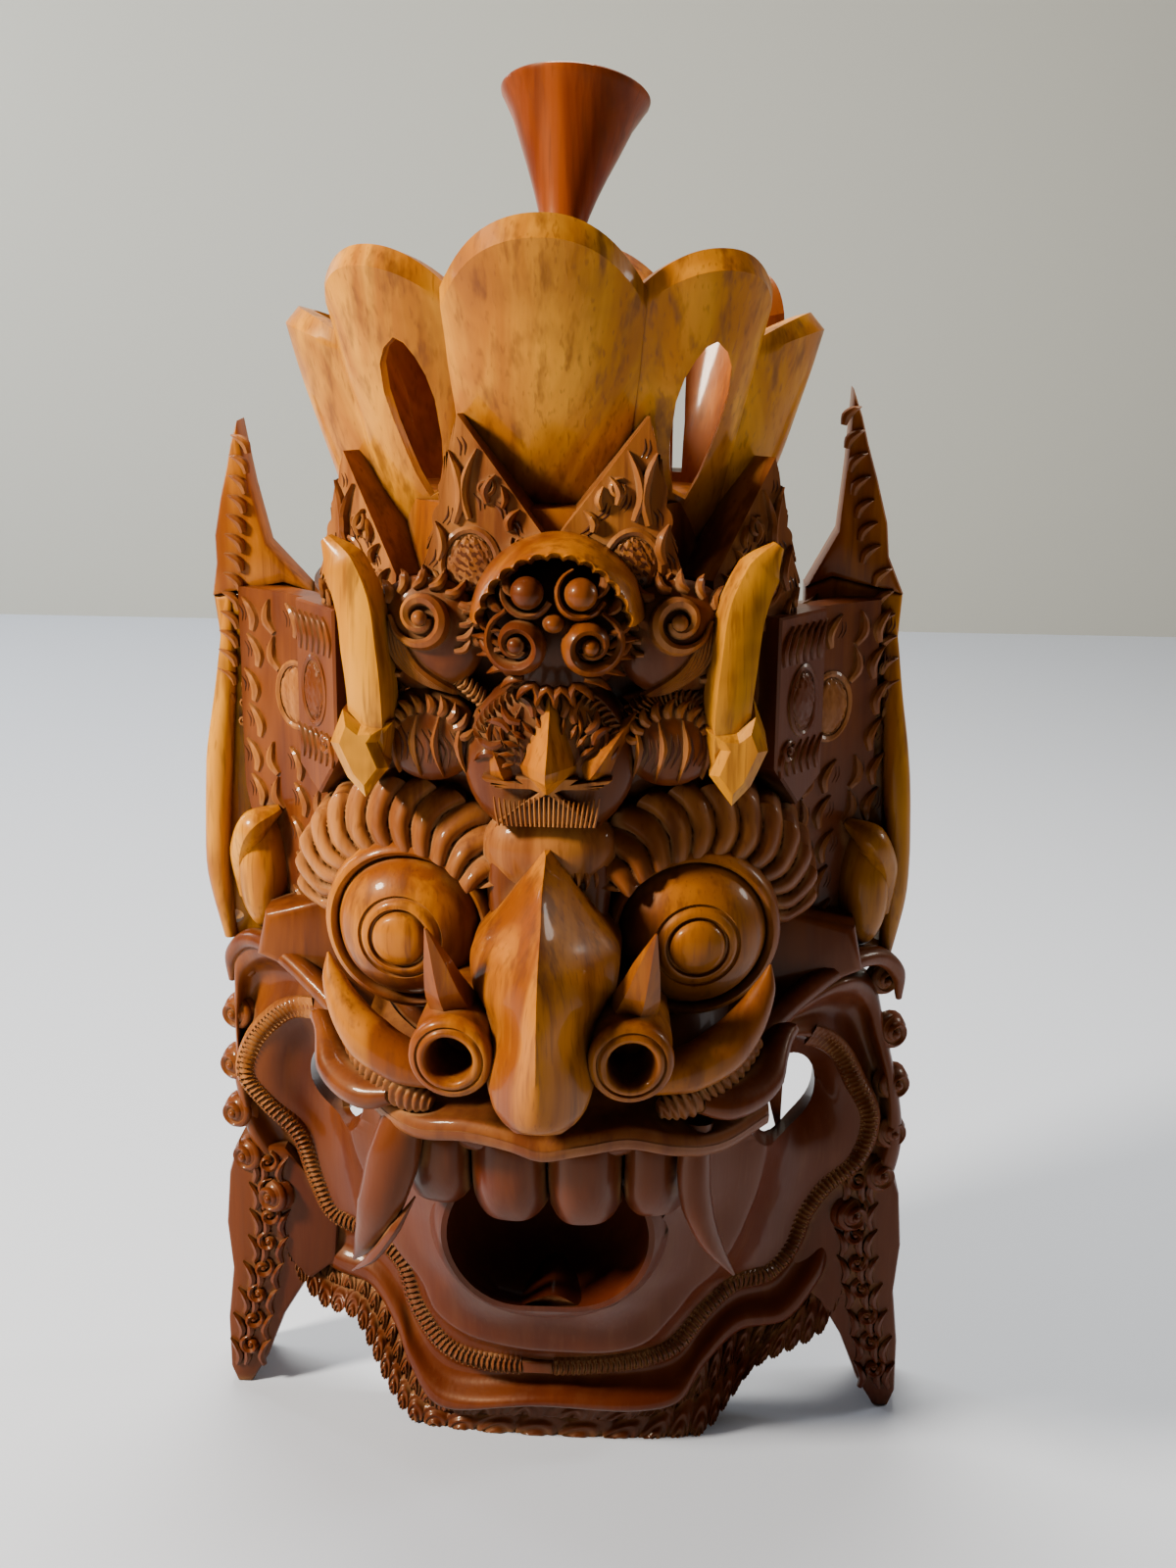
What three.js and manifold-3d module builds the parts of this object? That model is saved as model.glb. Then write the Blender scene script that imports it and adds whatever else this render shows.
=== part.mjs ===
// A carved wooden barong mask that stands on its own two wing tips and its beard.
//
// The mask is one carved block: a hollow head with a flame crown of eight petals, ears that rise to
// spires, and a wide ruffled flange round the mouth. A turned trumpet finial is planted in the crown.
// Millimetres, +Z up, the face looks along -Y. Forms are laid out from the front of the feet on the
// ground, and the whole is moved at the end so that its origin is under the middle of its box.

import * as THREE from "three";
import { mergeVertices } from "three/addons/utils/BufferGeometryUtils.js";
import Module from "manifold-3d";

const wasm = await Module();
wasm.setup();

// ---------------------------------------------------------------- driving dimensions

const BACK = 58;                 // the flat back of the head
const FOOT_BACK = 38;            // the back of the two wing tips that it stands on
const BAND_TOP = 388;            // flat top of the crown band
const HEAD_FOOT = 172;           // underside of the upper head, over the mouth
const WALL = 20;                 // wood left round the hollow in the back
const HOLLOW_TOP = 326;          // the hollow stops here, under the crown

const CROWN = { x: -4, y: -12 }; // the crown's axis
const CROWN_FOOT = 396;          // where the petals start
const CROWN_FLOOR = 432;         // floor inside the ring of petals
const PETAL_THICK = 13;

const EYE = { x: 58, z: 263, ball: 30, socket: 36, pupil: 11, front: -82 };
const NOSTRIL = { x: 35, z: 229, front: -131, outer: 16.5, bore: 9.7, deep: 24 };
const CHEEK_HOLE = { x: 99, z: 166, halfWidth: 15, halfHeight: 17 };
const BOWL = { x: -1, z: 124, halfWidth: 43, halfHeight: 37, front: -69, deep: 52, wall: 11 };
const TEETH = { edges: [-62, -32, 0, 31, 59], top: 184, foot: [143, 139, 138, 140], front: -100, back: -58 };
const FLANGE_THICK = 15;
const BEARD_LOBES = 16;
const BROW_LOCKS = 12;

const FINIAL = { x: -11, y: -27, stem: 8, rim: 31, neckHeight: 118, height: 175, leanBack: 0.36, leanRight: 0.075 };
const SOCKET_DEEP = 8;           // how far the finial's stem goes down into the crown's floor
const GAP = 0.3;                 // clearance between the finial and its socket

const WELD = 1e-3;

// ---------------------------------------------------------------- small helpers

const at = (x, y, z) => new THREE.Vector3(x, y, z);
const mix = THREE.MathUtils.lerp;
const wave = (count, along) => Math.abs(Math.sin(Math.PI * count * along));

/** The value at `along` (0 to 1) of evenly spaced values. */
function graded(values, along) {
  if (!Array.isArray(values)) return values;
  const place = THREE.MathUtils.clamp(along, 0, 1) * (values.length - 1);
  const first = Math.min(Math.floor(place), values.length - 2);
  return mix(values[first], values[first + 1], place - first);
}

/** The values at `key` in a table of rows [key, value, value...] with rising keys. */
function atHeight(rows, key) {
  const last = rows.length - 1;
  const next = THREE.MathUtils.clamp(rows.findIndex((row) => row[0] >= key), 1, last);
  const low = rows[key > rows[last][0] ? last - 1 : next - 1];
  const high = rows[key > rows[last][0] ? last : next];
  const share = THREE.MathUtils.clamp((key - low[0]) / (high[0] - low[0]), 0, 1);
  return low.slice(1).map((value, place) => mix(value, high[place + 1], share));
}

/** A smooth line through points given as [x, y, z]. */
function rail(points) {
  return new THREE.CatmullRomCurve3(points.map((point) => at(...point)), false, "centripetal");
}

/** Moves every corner of a geometry. */
function moved(geometry, place) {
  const corners = geometry.attributes.position;
  const corner = new THREE.Vector3();
  for (let index = 0; index < corners.count; index += 1) {
    const target = place(corner.fromBufferAttribute(corners, index));
    corners.setXYZ(index, target.x, target.y, target.z);
  }
  return geometry;
}

/** A closed solid from a geometry, whichever way its faces wind. */
function solid(geometry) {
  const bare = geometry.clone();
  bare.deleteAttribute("normal");
  bare.deleteAttribute("uv");
  const merged = mergeVertices(bare, WELD);
  const places = Float32Array.from(merged.attributes.position.array);
  const order = merged.index.array;
  const corner = (index) => at(places[3 * index], places[3 * index + 1], places[3 * index + 2]);
  const faces = [];
  let volume = 0;
  for (let first = 0; first < order.length; first += 3) {
    const [a, b, c] = [order[first], order[first + 1], order[first + 2]];
    if (a === b || b === c || c === a) continue;
    faces.push([a, b, c]);
    volume += corner(a).dot(corner(b).cross(corner(c)));
  }
  const wound = volume < 0 ? faces.map(([a, b, c]) => [a, c, b]) : faces;
  const mesh = new wasm.Mesh({
    numProp: 3,
    vertProperties: places,
    triVerts: Uint32Array.from(wound.flat()),
  });
  return new wasm.Manifold(mesh);
}

/** A box whose corners go to place(u, v, w): u and v run over its face and w through it, 0 to 1. */
function slab(uSteps, vSteps, place, wSteps = 1) {
  const box = new THREE.BoxGeometry(1, 1, 1, uSteps, vSteps, wSteps);
  return solid(moved(box, (p) => place(p.x + 0.5, p.y + 0.5, p.z + 0.5)));
}

/** A bar along a smooth path. Breadth and depth are its half sizes, and `facing` is where depth points. */
function limb(path, breadth, depth, { sides = 6, steps = 5, facing = at(0, -1, 0) } = {}) {
  const curve = rail(path);
  const rod = new THREE.CylinderGeometry(1, 1, 1, sides, steps);
  return solid(moved(rod, (p) => {
    const along = p.y + 0.5;
    const ahead = curve.getTangent(along);
    const across = new THREE.Vector3().crossVectors(ahead, facing).normalize();
    const lift = new THREE.Vector3().crossVectors(across, ahead).normalize();
    return curve.getPoint(along)
      .addScaledVector(across, p.x * graded(breadth, along))
      .addScaledVector(lift, p.z * graded(depth, along));
  }));
}

/** A turned form with its profile [radius, height] along `facing` from `place`. */
function turned(profile, sides, place, facing = at(0, -1, 0)) {
  const lathe = new THREE.LatheGeometry(profile.map(([radius, height]) => new THREE.Vector2(radius, height)), sides);
  lathe.applyQuaternion(new THREE.Quaternion().setFromUnitVectors(at(0, 1, 0), facing.clone().normalize()));
  return solid(lathe.translate(place.x, place.y, place.z));
}

function ball(place, size, sides = 8, rings = 6, turn = 0) {
  const sphere = new THREE.SphereGeometry(1, sides, rings).scale(...size).rotateY(turn);
  return solid(sphere.translate(place.x, place.y, place.z));
}

/** A board cut to an outline of [x, z] corners, from `front` back by `thick`, turned round its own middle. */
function board(outline, front, thick, { turn = 0, about = at(0, 0, 0), lean = 0, bevel = 0 } = {}) {
  const shape = new THREE.Shape(outline.map(([x, z]) => new THREE.Vector2(x, z)));
  const cut = new THREE.ExtrudeGeometry(shape, {
    depth: thick - 2 * bevel, bevelEnabled: bevel > 0, bevelSize: bevel, bevelThickness: bevel,
    bevelOffset: -bevel, bevelSegments: 1, curveSegments: 8,
  });
  cut.rotateX(Math.PI / 2).translate(0, front + thick - bevel, 0);
  cut.translate(-about.x, -about.y, -about.z).rotateX(lean).rotateZ(turn).translate(about.x, about.y, about.z);
  return solid(cut);
}

function box(low, high) {
  const size = high.clone().sub(low);
  const middle = high.clone().add(low).multiplyScalar(0.5);
  return solid(new THREE.BoxGeometry(size.x, size.y, size.z).translate(middle.x, middle.y, middle.z));
}

function union(bodies) {
  return wasm.Manifold.union(bodies);
}

/** The same wood with the pockets that its pieces seal in between them filled. */
function withoutPockets(body) {
  return union(body.decompose().filter((shell) => shell.volume() > 0));
}

function bothSides(make) {
  return [-1, 1].flatMap((side) => make(side));
}

// ---------------------------------------------------------------- the head

// Height, half breadth and front of the head's skin.
const HEAD_SECTIONS = [
  [HEAD_FOOT, 74, -62],
  [198, 86, -78],
  [228, 93, -74],
  [262, 98, -56],
  [296, 103, -62],
  [322, 107, -74],
  [352, 111, -79],
  [BAND_TOP, 112, -76],
];

/** A point of the head's skin: `round` runs 0 to 1 from its left back edge over the face to its right one. */
function headSkin(round, height, inset = 0) {
  const [half, front] = atHeight(HEAD_SECTIONS, height);
  const swing = Math.PI * round;
  const boxy = (value) => Math.sign(value) * Math.abs(value) ** 0.8;
  return at(
    -(half - inset) * boxy(Math.cos(swing)),
    BACK - (BACK - front - inset) * boxy(Math.sin(swing)),
    height,
  );
}

/** The head is a shell, open behind, under a solid block that carries the crown. */
function makeHead() {
  const rows = [HEAD_FOOT, 208, 252, 296, HOLLOW_TOP, HOLLOW_TOP + 1, BAND_TOP];
  const skull = slab(10, rows.length - 1, (u, v, w) => {
    const height = rows[Math.round(v * (rows.length - 1))];
    if (w === 0 || height <= HOLLOW_TOP) return headSkin(u, height, w * WALL);
    return at(headSkin(u, height).x, BACK, height - (height === BAND_TOP ? 14 : 0));
  });
  const palate = ball(at(0, -48, 176), [70, 50, 14], 8, 4);
  const cheeks = bothSides((side) => [
    board([[62, 194], [62, 236], [88, 262], [126, 252], [130, 232], [112, 224], [96, 200]].map(([x, z]) => [side * x, z]), -34, 50),
  ]);
  return [skull, palate, ...cheeks];
}

// ---------------------------------------------------------------- the crown

// Where each petal sits round the crown, from the front to the back: middle and half width in degrees,
// height of its brow and how far its corners drop.
const PETALS = [
  { middle: 0, half: 20, top: 541, drop: 27 },
  { middle: 37, half: 17, top: 529, drop: 15 },
  { middle: 84, half: 30, top: 504, drop: 9 },
  { middle: 135, half: 21, top: 520, drop: 18 },
  { middle: 180, half: 24, top: 530, drop: 18 },
];
const PETAL_FACETS = 4;

/** A point of the crown at `swing` radians from the front, `inset` inside its flaring skin. */
function crownSkin(swing, height, inset = 0) {
  const rise = Math.max(height - CROWN_FOOT, 0) / 140;
  const half = 78 + 38 * rise ** 1.15 - inset;
  const depth = (Math.cos(swing) > 0 ? 32 + 44 * rise : 42 + 34 * rise) - inset;
  return at(CROWN.x + half * Math.sin(swing), CROWN.y - depth * Math.cos(swing), height);
}

/** The crown is one ring: petals side by side, arched and bevelled at the top, round a flat floor. */
function makeCrown() {
  const ring = [...PETALS, ...PETALS.slice(1, -1).reverse().map((petal) => ({ ...petal, middle: 360 - petal.middle }))];
  const facets = ring.length * PETAL_FACETS;
  // Share of the petal's height, inset from its skin, and whether the petal's swell shows there.
  const stations = [[-0.1, 4, 0], [0, 0, 0.3], [0.35, 0, 0.7], [0.7, 0, 1], [0.93, 0, 1], [1, 7, 1],
    [0.97, PETAL_THICK, 1], [0.5, PETAL_THICK, 0.4], [0.25, PETAL_THICK + 3, 0]];
  const profile = [[0, -1], ...stations.map((_, row) => [1, row]), [0, stations.length]];
  const lathe = new THREE.LatheGeometry(profile.map(([radius, row]) => new THREE.Vector2(radius, row)), facets);
  const cup = solid(moved(lathe, (p) => {
    const row = Math.round(p.y);
    if (row < 0) return at(CROWN.x, CROWN.y, CROWN_FOOT - 14);
    if (row === stations.length) return at(CROWN.x, CROWN.y, CROWN_FLOOR);
    const facet = Math.round(Math.atan2(p.x, p.z) / (2 * Math.PI) * facets + facets) % facets;
    const petal = ring[Math.floor((facet + PETAL_FACETS / 2) / PETAL_FACETS) % ring.length];
    const place = ((facet + PETAL_FACETS / 2) % PETAL_FACETS) / PETAL_FACETS * 2 - 1;
    const swing = (petal.middle + place * petal.half) * Math.PI / 180;
    const [share, inset, swell] = stations[row];
    const crest = petal.top - petal.drop * Math.abs(place) ** 2.2;
    const height = row === stations.length - 1 ? CROWN_FLOOR : mix(CROWN_FOOT, crest, share);
    return crownSkin(swing, height, inset - swell * 6 * (1 - place ** 2) + 2);
  }));
  const slots = bothSides((side) => {
    const outline = [[61, 495], [67, 488], [66, 474], [59, 452], [50, 433], [45, 436], [44, 455], [46, 472], [52, 487]];
    return [board(outline.map(([x, z]) => [side * x, z]), -100, 170)];
  });
  return { cup, slots };
}

/** A leaf of the tier under the petals: a thick pointed board with a sawn edge. */
function makeLeaf(side, { foot, tip, heel, front, thick, turn, lean }) {
  const saw = (from, to, teeth) => Array.from({ length: teeth * 2 }, (_, step) => {
    const share = (step + 1) / (teeth * 2 + 1);
    const notch = step % 2 ? -1.2 : 2.2;
    const along = new THREE.Vector2(to[0] - from[0], to[1] - from[1]).normalize();
    return [mix(from[0], to[0], share) + notch * along.y, mix(from[1], to[1], share) - notch * along.x];
  });
  const outline = [foot, tip, ...saw(tip, heel, 3), heel, [heel[0], CROWN_FOOT - 14], [foot[0], CROWN_FOOT - 14]];
  const middle = at(side * (foot[0] + heel[0]) / 2, front, foot[1]);
  return board(outline.map(([x, z]) => [side * x, z]), front, thick, { turn: side * turn, about: middle, lean });
}

function makeLeaves() {
  return bothSides((side) => [
    makeLeaf(side, { foot: [1, 421], tip: [37, 468], heel: [50, 402], front: -80, thick: 22, turn: 0.12, lean: -0.08 }),
    makeLeaf(side, { foot: [58, 404], tip: [88, 450], heel: [100, 396], front: -52, thick: 22, turn: 0.62, lean: -0.05 }),
  ]);
}

// ---------------------------------------------------------------- the band over the brows

function makeBandFront() {
  const hood = turned([[0, 26], [17, 23], [29, 13], [32, -18], [0, -18]], 10, at(3, -84, 391), at(0, -1, 0.12));
  const faces = bothSides((side) => [
    ball(at(3 + side * 10, -110, 406), [5.5, 6, 5.5], 6, 4),
    turned([[0, 5], [5, 4], [12, -2], [12, -10], [0, -10]], 7, at(3 + side * 13, -106, 388)),
  ]);
  const fan = turned([[0, 13], [24, 12], [33, 6], [34, -10], [0, -10]], 10, at(0, -84, 338));
  const spikes = [
    limb([[1, -95, 364], [0, -108, 346], [0, -96, 328]], [2, 11, 2], [2, 12, 2], { sides: 4, steps: 2 }),
    limb([[-20, -90, 354], [-23, -97, 340], [-16, -92, 326]], [2, 9, 2], [2, 9, 2], { sides: 4, steps: 2 }),
    limb([[29, -90, 358], [22, -100, 342], [15, -92, 328]], [3, 10, 2], [2, 10, 2], { sides: 4, steps: 2 }),
  ];
  const fringe = board([[-24, 331], [-17, 325], [-8, 333], [0, 326], [9, 333], [16, 326], [24, 330], [20, 314], [-20, 314]],
    -101, 26);
  const arch = limb([[-22, -88, 300], [-13, -96, 309], [0, -98, 312], [13, -96, 309], [22, -88, 300]], 5, 6,
    { sides: 5, steps: 4 });
  const wings = bothSides((side) => [
    ball(at(side * 48, -79, 384), [24, 11, 23], 7, 4, side * 0.25),
    ball(at(side * 47, -81, 345), [20, 9, 19], 7, 4, side * 0.25),
    turned([[0, 4], [6, 3], [13, -2], [13, -7], [0, -7]], 7, at(side * 50, -87, 390), at(side * 0.25, -1, 0)),
  ]);
  return [hood, fan, fringe, arch, ...faces, ...spikes, ...wings];
}

function makeHorns() {
  return bothSides((side) => [
    limb(
      [[68, -79, 338], [68, -87, 356], [70, -88, 378], [73, -86, 398], [82, -83, 418]].map(([x, y, z]) => [side * x, y, z]),
      [8, 8, 8.5, 8, 1], [10, 9, 9, 8, 1], { sides: 4, steps: 5, facing: at(side * 0.5, -1, 0) },
    ),
    board([[62, 352], [70, 345], [78, 354], [80, 340], [71, 326], [62, 336]].map(([x, z]) => [side * x, z]), -94, 34),
    board([[80, 388], [112, 388], [112, 318], [96, 308], [80, 326]].map(([x, z]) => [side * x, z]), -44, 18,
      { turn: side * 0.9, about: at(side * 96, -40, 350) }),
  ]);
}

// ---------------------------------------------------------------- brows, eyes, nose

function makeEyes() {
  return bothSides((side) => {
    const place = at(side * EYE.x, EYE.front, EYE.z);
    const facing = at(side * 0.16, -1, -0.04);
    const profile = [
      [0, 12], [EYE.pupil, 9.5], [EYE.pupil, 8], [22, 3], [22, 1.5], [EYE.ball, -6],
      [EYE.ball + 1, -3], [EYE.socket, -7], [EYE.socket + 3, -36], [0, -36],
    ];
    return [turned(profile, 11, place, facing)];
  });
}

/** The brow: a band of curved flutes that leans round the eye. */
function makeBrows() {
  return bothSides((side) => [slab(2 * BROW_LOCKS, 1, (u, v, w) => {
    const ridge = wave(BROW_LOCKS, u);
    const swing = (mix(-8, 140, u) + 9 * v) * Math.PI / 180;
    const reach = mix(33, mix(46, 57, Math.sin(u * Math.PI * 0.8)) + 3 * ridge, v);
    const front = mix(-36, -80, u ** 0.8) - mix(9, 3, v) - 5 * ridge;
    return at(side * (EYE.x + reach * Math.cos(swing)), w ? front + 26 : front, EYE.z + reach * Math.sin(swing));
  })]);
}

// Height, half breadth, ridge and edge of the nose.
const NOSE_SECTIONS = [
  [204, 9, -142, -140],
  [212, 18, -150, -134],
  [226, 22, -153, -124],
  [240, 22, -153, -116],
  [252, 28, -151, -110],
  [265, 29, -147, -105],
  [280, 18, -138, -104],
  [293, 9, -124, -102],
  [304, 1, -106, -100],
];

function makeNose() {
  return slab(4, 8, (u, v, w) => {
    const height = NOSE_SECTIONS[Math.round(v * 8)][0];
    const [half, ridge, edge] = atHeight(NOSE_SECTIONS, height);
    const across = 2 * u - 1;
    const front = mix(ridge, edge, Math.abs(across) ** 1.4);
    return at(half * across, w ? -58 : front, height);
  });
}

function makeBridge() {
  return board([[-20, 262], [20, 262], [25, 290], [21, 312], [-21, 312], [-25, 290]], -92, 34, { bevel: 5 });
}

function makeNostrils() {
  const { outer, bore, deep, front } = NOSTRIL;
  return bothSides((side) => {
    const profile = [[0, -deep], [bore * 0.8, -deep], [bore, 0], [outer - 2, 0], [outer, -4],
      [outer, -14], [outer + 3, -56], [0, -56]];
    return [turned(profile, 10, at(side * NOSTRIL.x, front, NOSTRIL.z), at(side * 0.12, -1, -0.05))];
  });
}

function makeEyeHorns() {
  return bothSides((side) => [
    limb([[side * 33, -108, 238], [side * 38, -119, 258], [side * 43, -129, 281]], [11, 8, 0.6], [10, 7, 0.6],
      { sides: 4, steps: 3 }),
  ]);
}

// ---------------------------------------------------------------- mouth

// The wavy edge of the upper lip, from the left corner of the mouth to the right.
const LIP = [
  [-84, -70, 199], [-71, -88, 192], [-52, -106, 189], [-30, -115, 192], [-13, -120, 191], [0, -122, 188],
  [16, -120, 190], [33, -115, 191], [52, -107, 185], [70, -93, 180], [90, -72, 184],
];

function makeUpperLip() {
  const edge = rail(LIP);
  return slab(14, 1, (u, v, w) => {
    const rim = edge.getPoint(u);
    const root = at(rim.x * 0.92, Math.min(rim.y + 38, -40), rim.z + mix(12, -8, w));
    const tip = at(rim.x, rim.y, rim.z + mix(2.5, -2.5, w));
    return v === 1 ? tip : root;
  });
}

function makeTeeth() {
  const { edges, top, foot, front, back } = TEETH;
  return foot.map((low, number) => slab(3, 2, (u, v, w) => {
    const across = 2 * u - 1;
    const x = mix(edges[number] + 0.7, edges[number + 1] - 0.7, u);
    const arc = (x / 60) ** 2 * 12;
    const round = 6 * across ** 2 + 7 * (1 - v) ** 3;
    const height = mix(low + 3 * across ** 2, top, v);
    return at(x, w ? back : front + arc + round, height);
  }));
}

function makeFangs() {
  const left = limb([[-58, -92, 184], [-64, -95, 158], [-71, -90, 136], [-83, -74, 110]], [13, 12, 10, 1], [9, 7, 5, 1],
    { sides: 6, steps: 5 });
  const sliver = limb([[-55, -95, 150], [-66, -93, 130], [-81, -84, 112]], [0.5, 2.6, 0.5], [1, 5, 1], { sides: 4, steps: 3 });
  const right = limb([[61, -90, 184], [60, -93, 160], [66, -90, 137], [77, -82, 114]], [9, 9, 7, 1], [9, 7, 5, 1],
    { sides: 6, steps: 5 });
  return [left, sliver, right];
}

/** Flame-shaped curls beside the nostrils, and the ribbed rolls of hair under them. */
function makeMoustache() {
  return bothSides((side) => {
    const flame = [[44, -104, 214], [60, -101, 220], [76, -97, 229], [84, -93, 240], [87, -91, 253]];
    const roll = [[80, -76, 213], [68, -88, 207], [55, -99, 200], [46, -101, 197]];
    const fold = [[88, -58, 206], [82, -78, 196], [66, -94, 200]];
    const sided = (points) => points.map(([x, y, z]) => [side * x, y, z]);
    return [
      limb(sided(flame), [9, 12, 10, 6, 0.6], [8, 9, 8, 5, 0.6], { sides: 6, steps: 5 }),
      limb(sided(roll), [5, 7, 7, 4], [10, 12, 12, 8], { sides: 5, steps: 3 }),
      limb(sided(fold), [6, 9, 6], [16, 16, 12], { sides: 5, steps: 2 }),
    ];
  });
}

/** The bowl of the open mouth and the wood round it. */
function makeBowl() {
  const { x, z, halfWidth, halfHeight, front, deep, wall } = BOWL;
  const cup = (grow, far) => {
    const rings = [[0, far], [0.62, far * 0.86], [0.9, far * 0.5], [1, 0], [1, -30]];
    const outline = rings.map(([radius, depth]) => [radius, -depth]);
    const lathe = new THREE.LatheGeometry([...outline, [0, 30]].map(([r, h]) => new THREE.Vector2(r, h)), 12);
    lathe.applyQuaternion(new THREE.Quaternion().setFromUnitVectors(at(0, 1, 0), at(0, -1, 0)));
    lathe.scale(halfWidth + grow, 1, halfHeight + grow);
    return solid(lathe.translate(x, front, z));
  };
  const outer = cup(wall, deep + wall).subtract(box(at(-200, -200, 0), at(200, front + 4, 300)));
  return { outer, inner: cup(0, deep) };
}

// ---------------------------------------------------------------- the flange

// Rails of the ruffled flange from the mouth's left corner, round the chin, to its right corner.
const CREST = [
  [-92, -44, 219], [-126, -20, 229], [-144, -4, 220], [-147, 0, 198], [-147, 0, 170], [-144, 2, 138], [-134, 5, 111],
  [-122, 9, 86], [-109, 6, 65], [-88, -4, 61], [-75, -15, 47], [-67, -23, 31], [-53, -34, 18], [-8, -43, 25],
  [54, -37, 25], [68, -24, 38], [84, -13, 50], [104, -7, 52], [118, -2, 70], [126, 8, 88], [144, 7, 106],
  [151, 2, 135], [148, 0, 165], [142, 0, 193], [136, -5, 212], [122, -22, 221], [94, -44, 212],
];
const ROPE = [
  [-94, -34, 206], [-118, -17, 201], [-131, -10, 191], [-140, -6, 178], [-143, -5, 164], [-134, -5, 150],
  [-120, -5, 135], [-112, -5, 112], [-104, -8, 97], [-85, -17, 92], [-70, -24, 82], [-62, -30, 62], [-45, -38, 46],
  [-2, -43, 43], [50, -38, 50], [67, -28, 66], [80, -22, 76], [95, -14, 77], [105, -8, 87], [111, -5, 103],
  [120, -5, 117], [134, -5, 131], [139, -5, 151], [131, -6, 170], [124, -10, 184], [113, -19, 195], [98, -32, 202],
];
const INNER = [
  [-80, -44, 200], [-82, -42, 191], [-84, -41, 182], [-86, -40, 173], [-87, -39, 163], [-88, -38, 153],
  [-87, -37, 142], [-82, -37, 127], [-76, -42, 112], [-68, -46, 99], [-58, -50, 88], [-50, -53, 74], [-34, -57, 65],
  [-2, -59, 61], [38, -57, 64], [52, -53, 76], [60, -49, 86], [70, -45, 94], [78, -42, 106], [84, -38, 120],
  [88, -37, 134], [89, -38, 147], [88, -39, 160], [87, -40, 171], [86, -41, 182], [84, -42, 191], [82, -44, 199],
];
// Where the lower lip and the corners of the mouth run in behind the teeth.
const THROAT = [
  [-62, -62, 196], [-62, -62, 186], [-62, -60, 176], [-62, -60, 166], [-60, -60, 156], [-58, -62, 146],
  [-50, -66, 138], [-45, -69, 125], [-43, -69, 116], [-40, -70, 107], [-34, -70, 98], [-26, -70, 90], [-15, -70, 88],
  [1, -71, 95], [17, -70, 88], [28, -70, 91], [35, -70, 100], [40, -70, 109], [42, -69, 118], [45, -68, 127],
  [52, -66, 138], [58, -62, 147], [60, -60, 157], [62, -60, 166], [62, -60, 176], [62, -62, 186], [62, -62, 196],
];
const FLANGE_STEPS = 28;

/** The ruffled flange, the dish of the cheeks inside its bead line, and the lower lip up to the bowl. */
function makeFlange() {
  const lines = [CREST, ROPE, INNER, THROAT].map(rail);
  return slab(FLANGE_STEPS, 6, (u, v, w) => {
    const [rim, bead, edge, throat] = lines.map((line) => line.getPoint(u));
    const outward = rim.clone().sub(bead).setY(0).normalize();
    const step = Math.round(v * 6);
    const back = w * FLANGE_THICK;
    if (step === 0) return rim.clone().addScaledVector(outward, 4 - w).add(at(0, 7 + back, 0));
    if (step === 1) return rim.clone().addScaledVector(outward, 1).add(at(0, w ? 4 + back : 0, 0));
    if (step === 2) return rim.lerp(bead, 0.4).add(at(0, 8 + back * 0.6, 0));
    if (step === 3) return bead.add(at(0, back, 0));
    if (step === 6) return throat.add(at(0, w * 44, 0));
    const dish = bead.lerp(edge, (step - 3) / 2);
    const away = Math.hypot((Math.abs(dish.x) - CHEEK_HOLE.x) / 22, (dish.z - CHEEK_HOLE.z) / 26);
    return dish.add(at(0, (step === 5 ? 0 : 6 + 24 * Math.exp(-(away ** 2))) + back, 0));
  });
}

/** Scalloped beard that hangs behind the flange from cheek to cheek. */
const BEARD = [
  [-134, 6, 92], [-124, 3, 60], [-111, -1, 46], [-96, -6, 43], [-87, -12, 30], [-78, -18, 14], [-66, -24, 1],
  [-40, -28, -3], [2, -30, -4], [44, -29, -3], [68, -25, 1], [80, -19, 15], [92, -12, 29], [108, -5, 34],
  [124, 2, 42], [138, 6, 92],
];

function makeBeard() {
  const foot = rail(BEARD);
  const crest = rail(CREST.slice(6, 21));
  return slab(2 * BEARD_LOBES, 1, (u, v, w) => {
    const low = foot.getPoint(u);
    const high = crest.getPoint(u).add(at(0, 10, 4));
    const outward = low.clone().sub(high).setY(0).normalize();
    low.addScaledVector(outward, 3.5 * wave(BEARD_LOBES, u) - 2);
    const place = low.clone().lerp(high, v);
    place.y += w * 22;
    return place;
  });
}

/** Snail curls down the outside of the flange. */
function makeCurls() {
  const places = [[-127, -2, 237, 8], [-142, 6, 215, 8], [-146, 7, 190, 9], [-148, 7, 165, 9], [-148, 7, 141, 9],
    [-144, 7, 119, 9], [-132, 4, 100, 9]];
  const curl = (x, y, z, size) => ball(at(x, y, z), [size, size * 1.1, size], 6, 3);
  return bothSides((side) => places.map(([x, y, z, size]) => curl(side * -x - (side > 0 ? 3 : 0), y, z, size)));
}

// ---------------------------------------------------------------- ears, wings and feet

// Outline of an ear and its wing: the ear, the plain edge up to the spire, and the tip.
const EAR_EDGE = [
  [-96, 250], [-112, 240], [-130, 229], [-144, 225], [-151, 229], [-154, 242], [-155, 270], [-154, 300], [-151, 328],
  [-148, 346], [-149, 364], [-151, 382], [-149, 396], [-149, 408], [-146, 424], [-143, 436], [-141, 446], [-138, 456],
  [-133, 430], [-127, 405], [-120, 388], [-108, 384], [-108, 300],
];
const RIGHT_SPIRE = { from: 340, rise: 0.145, inward: 0.118 };

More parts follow.
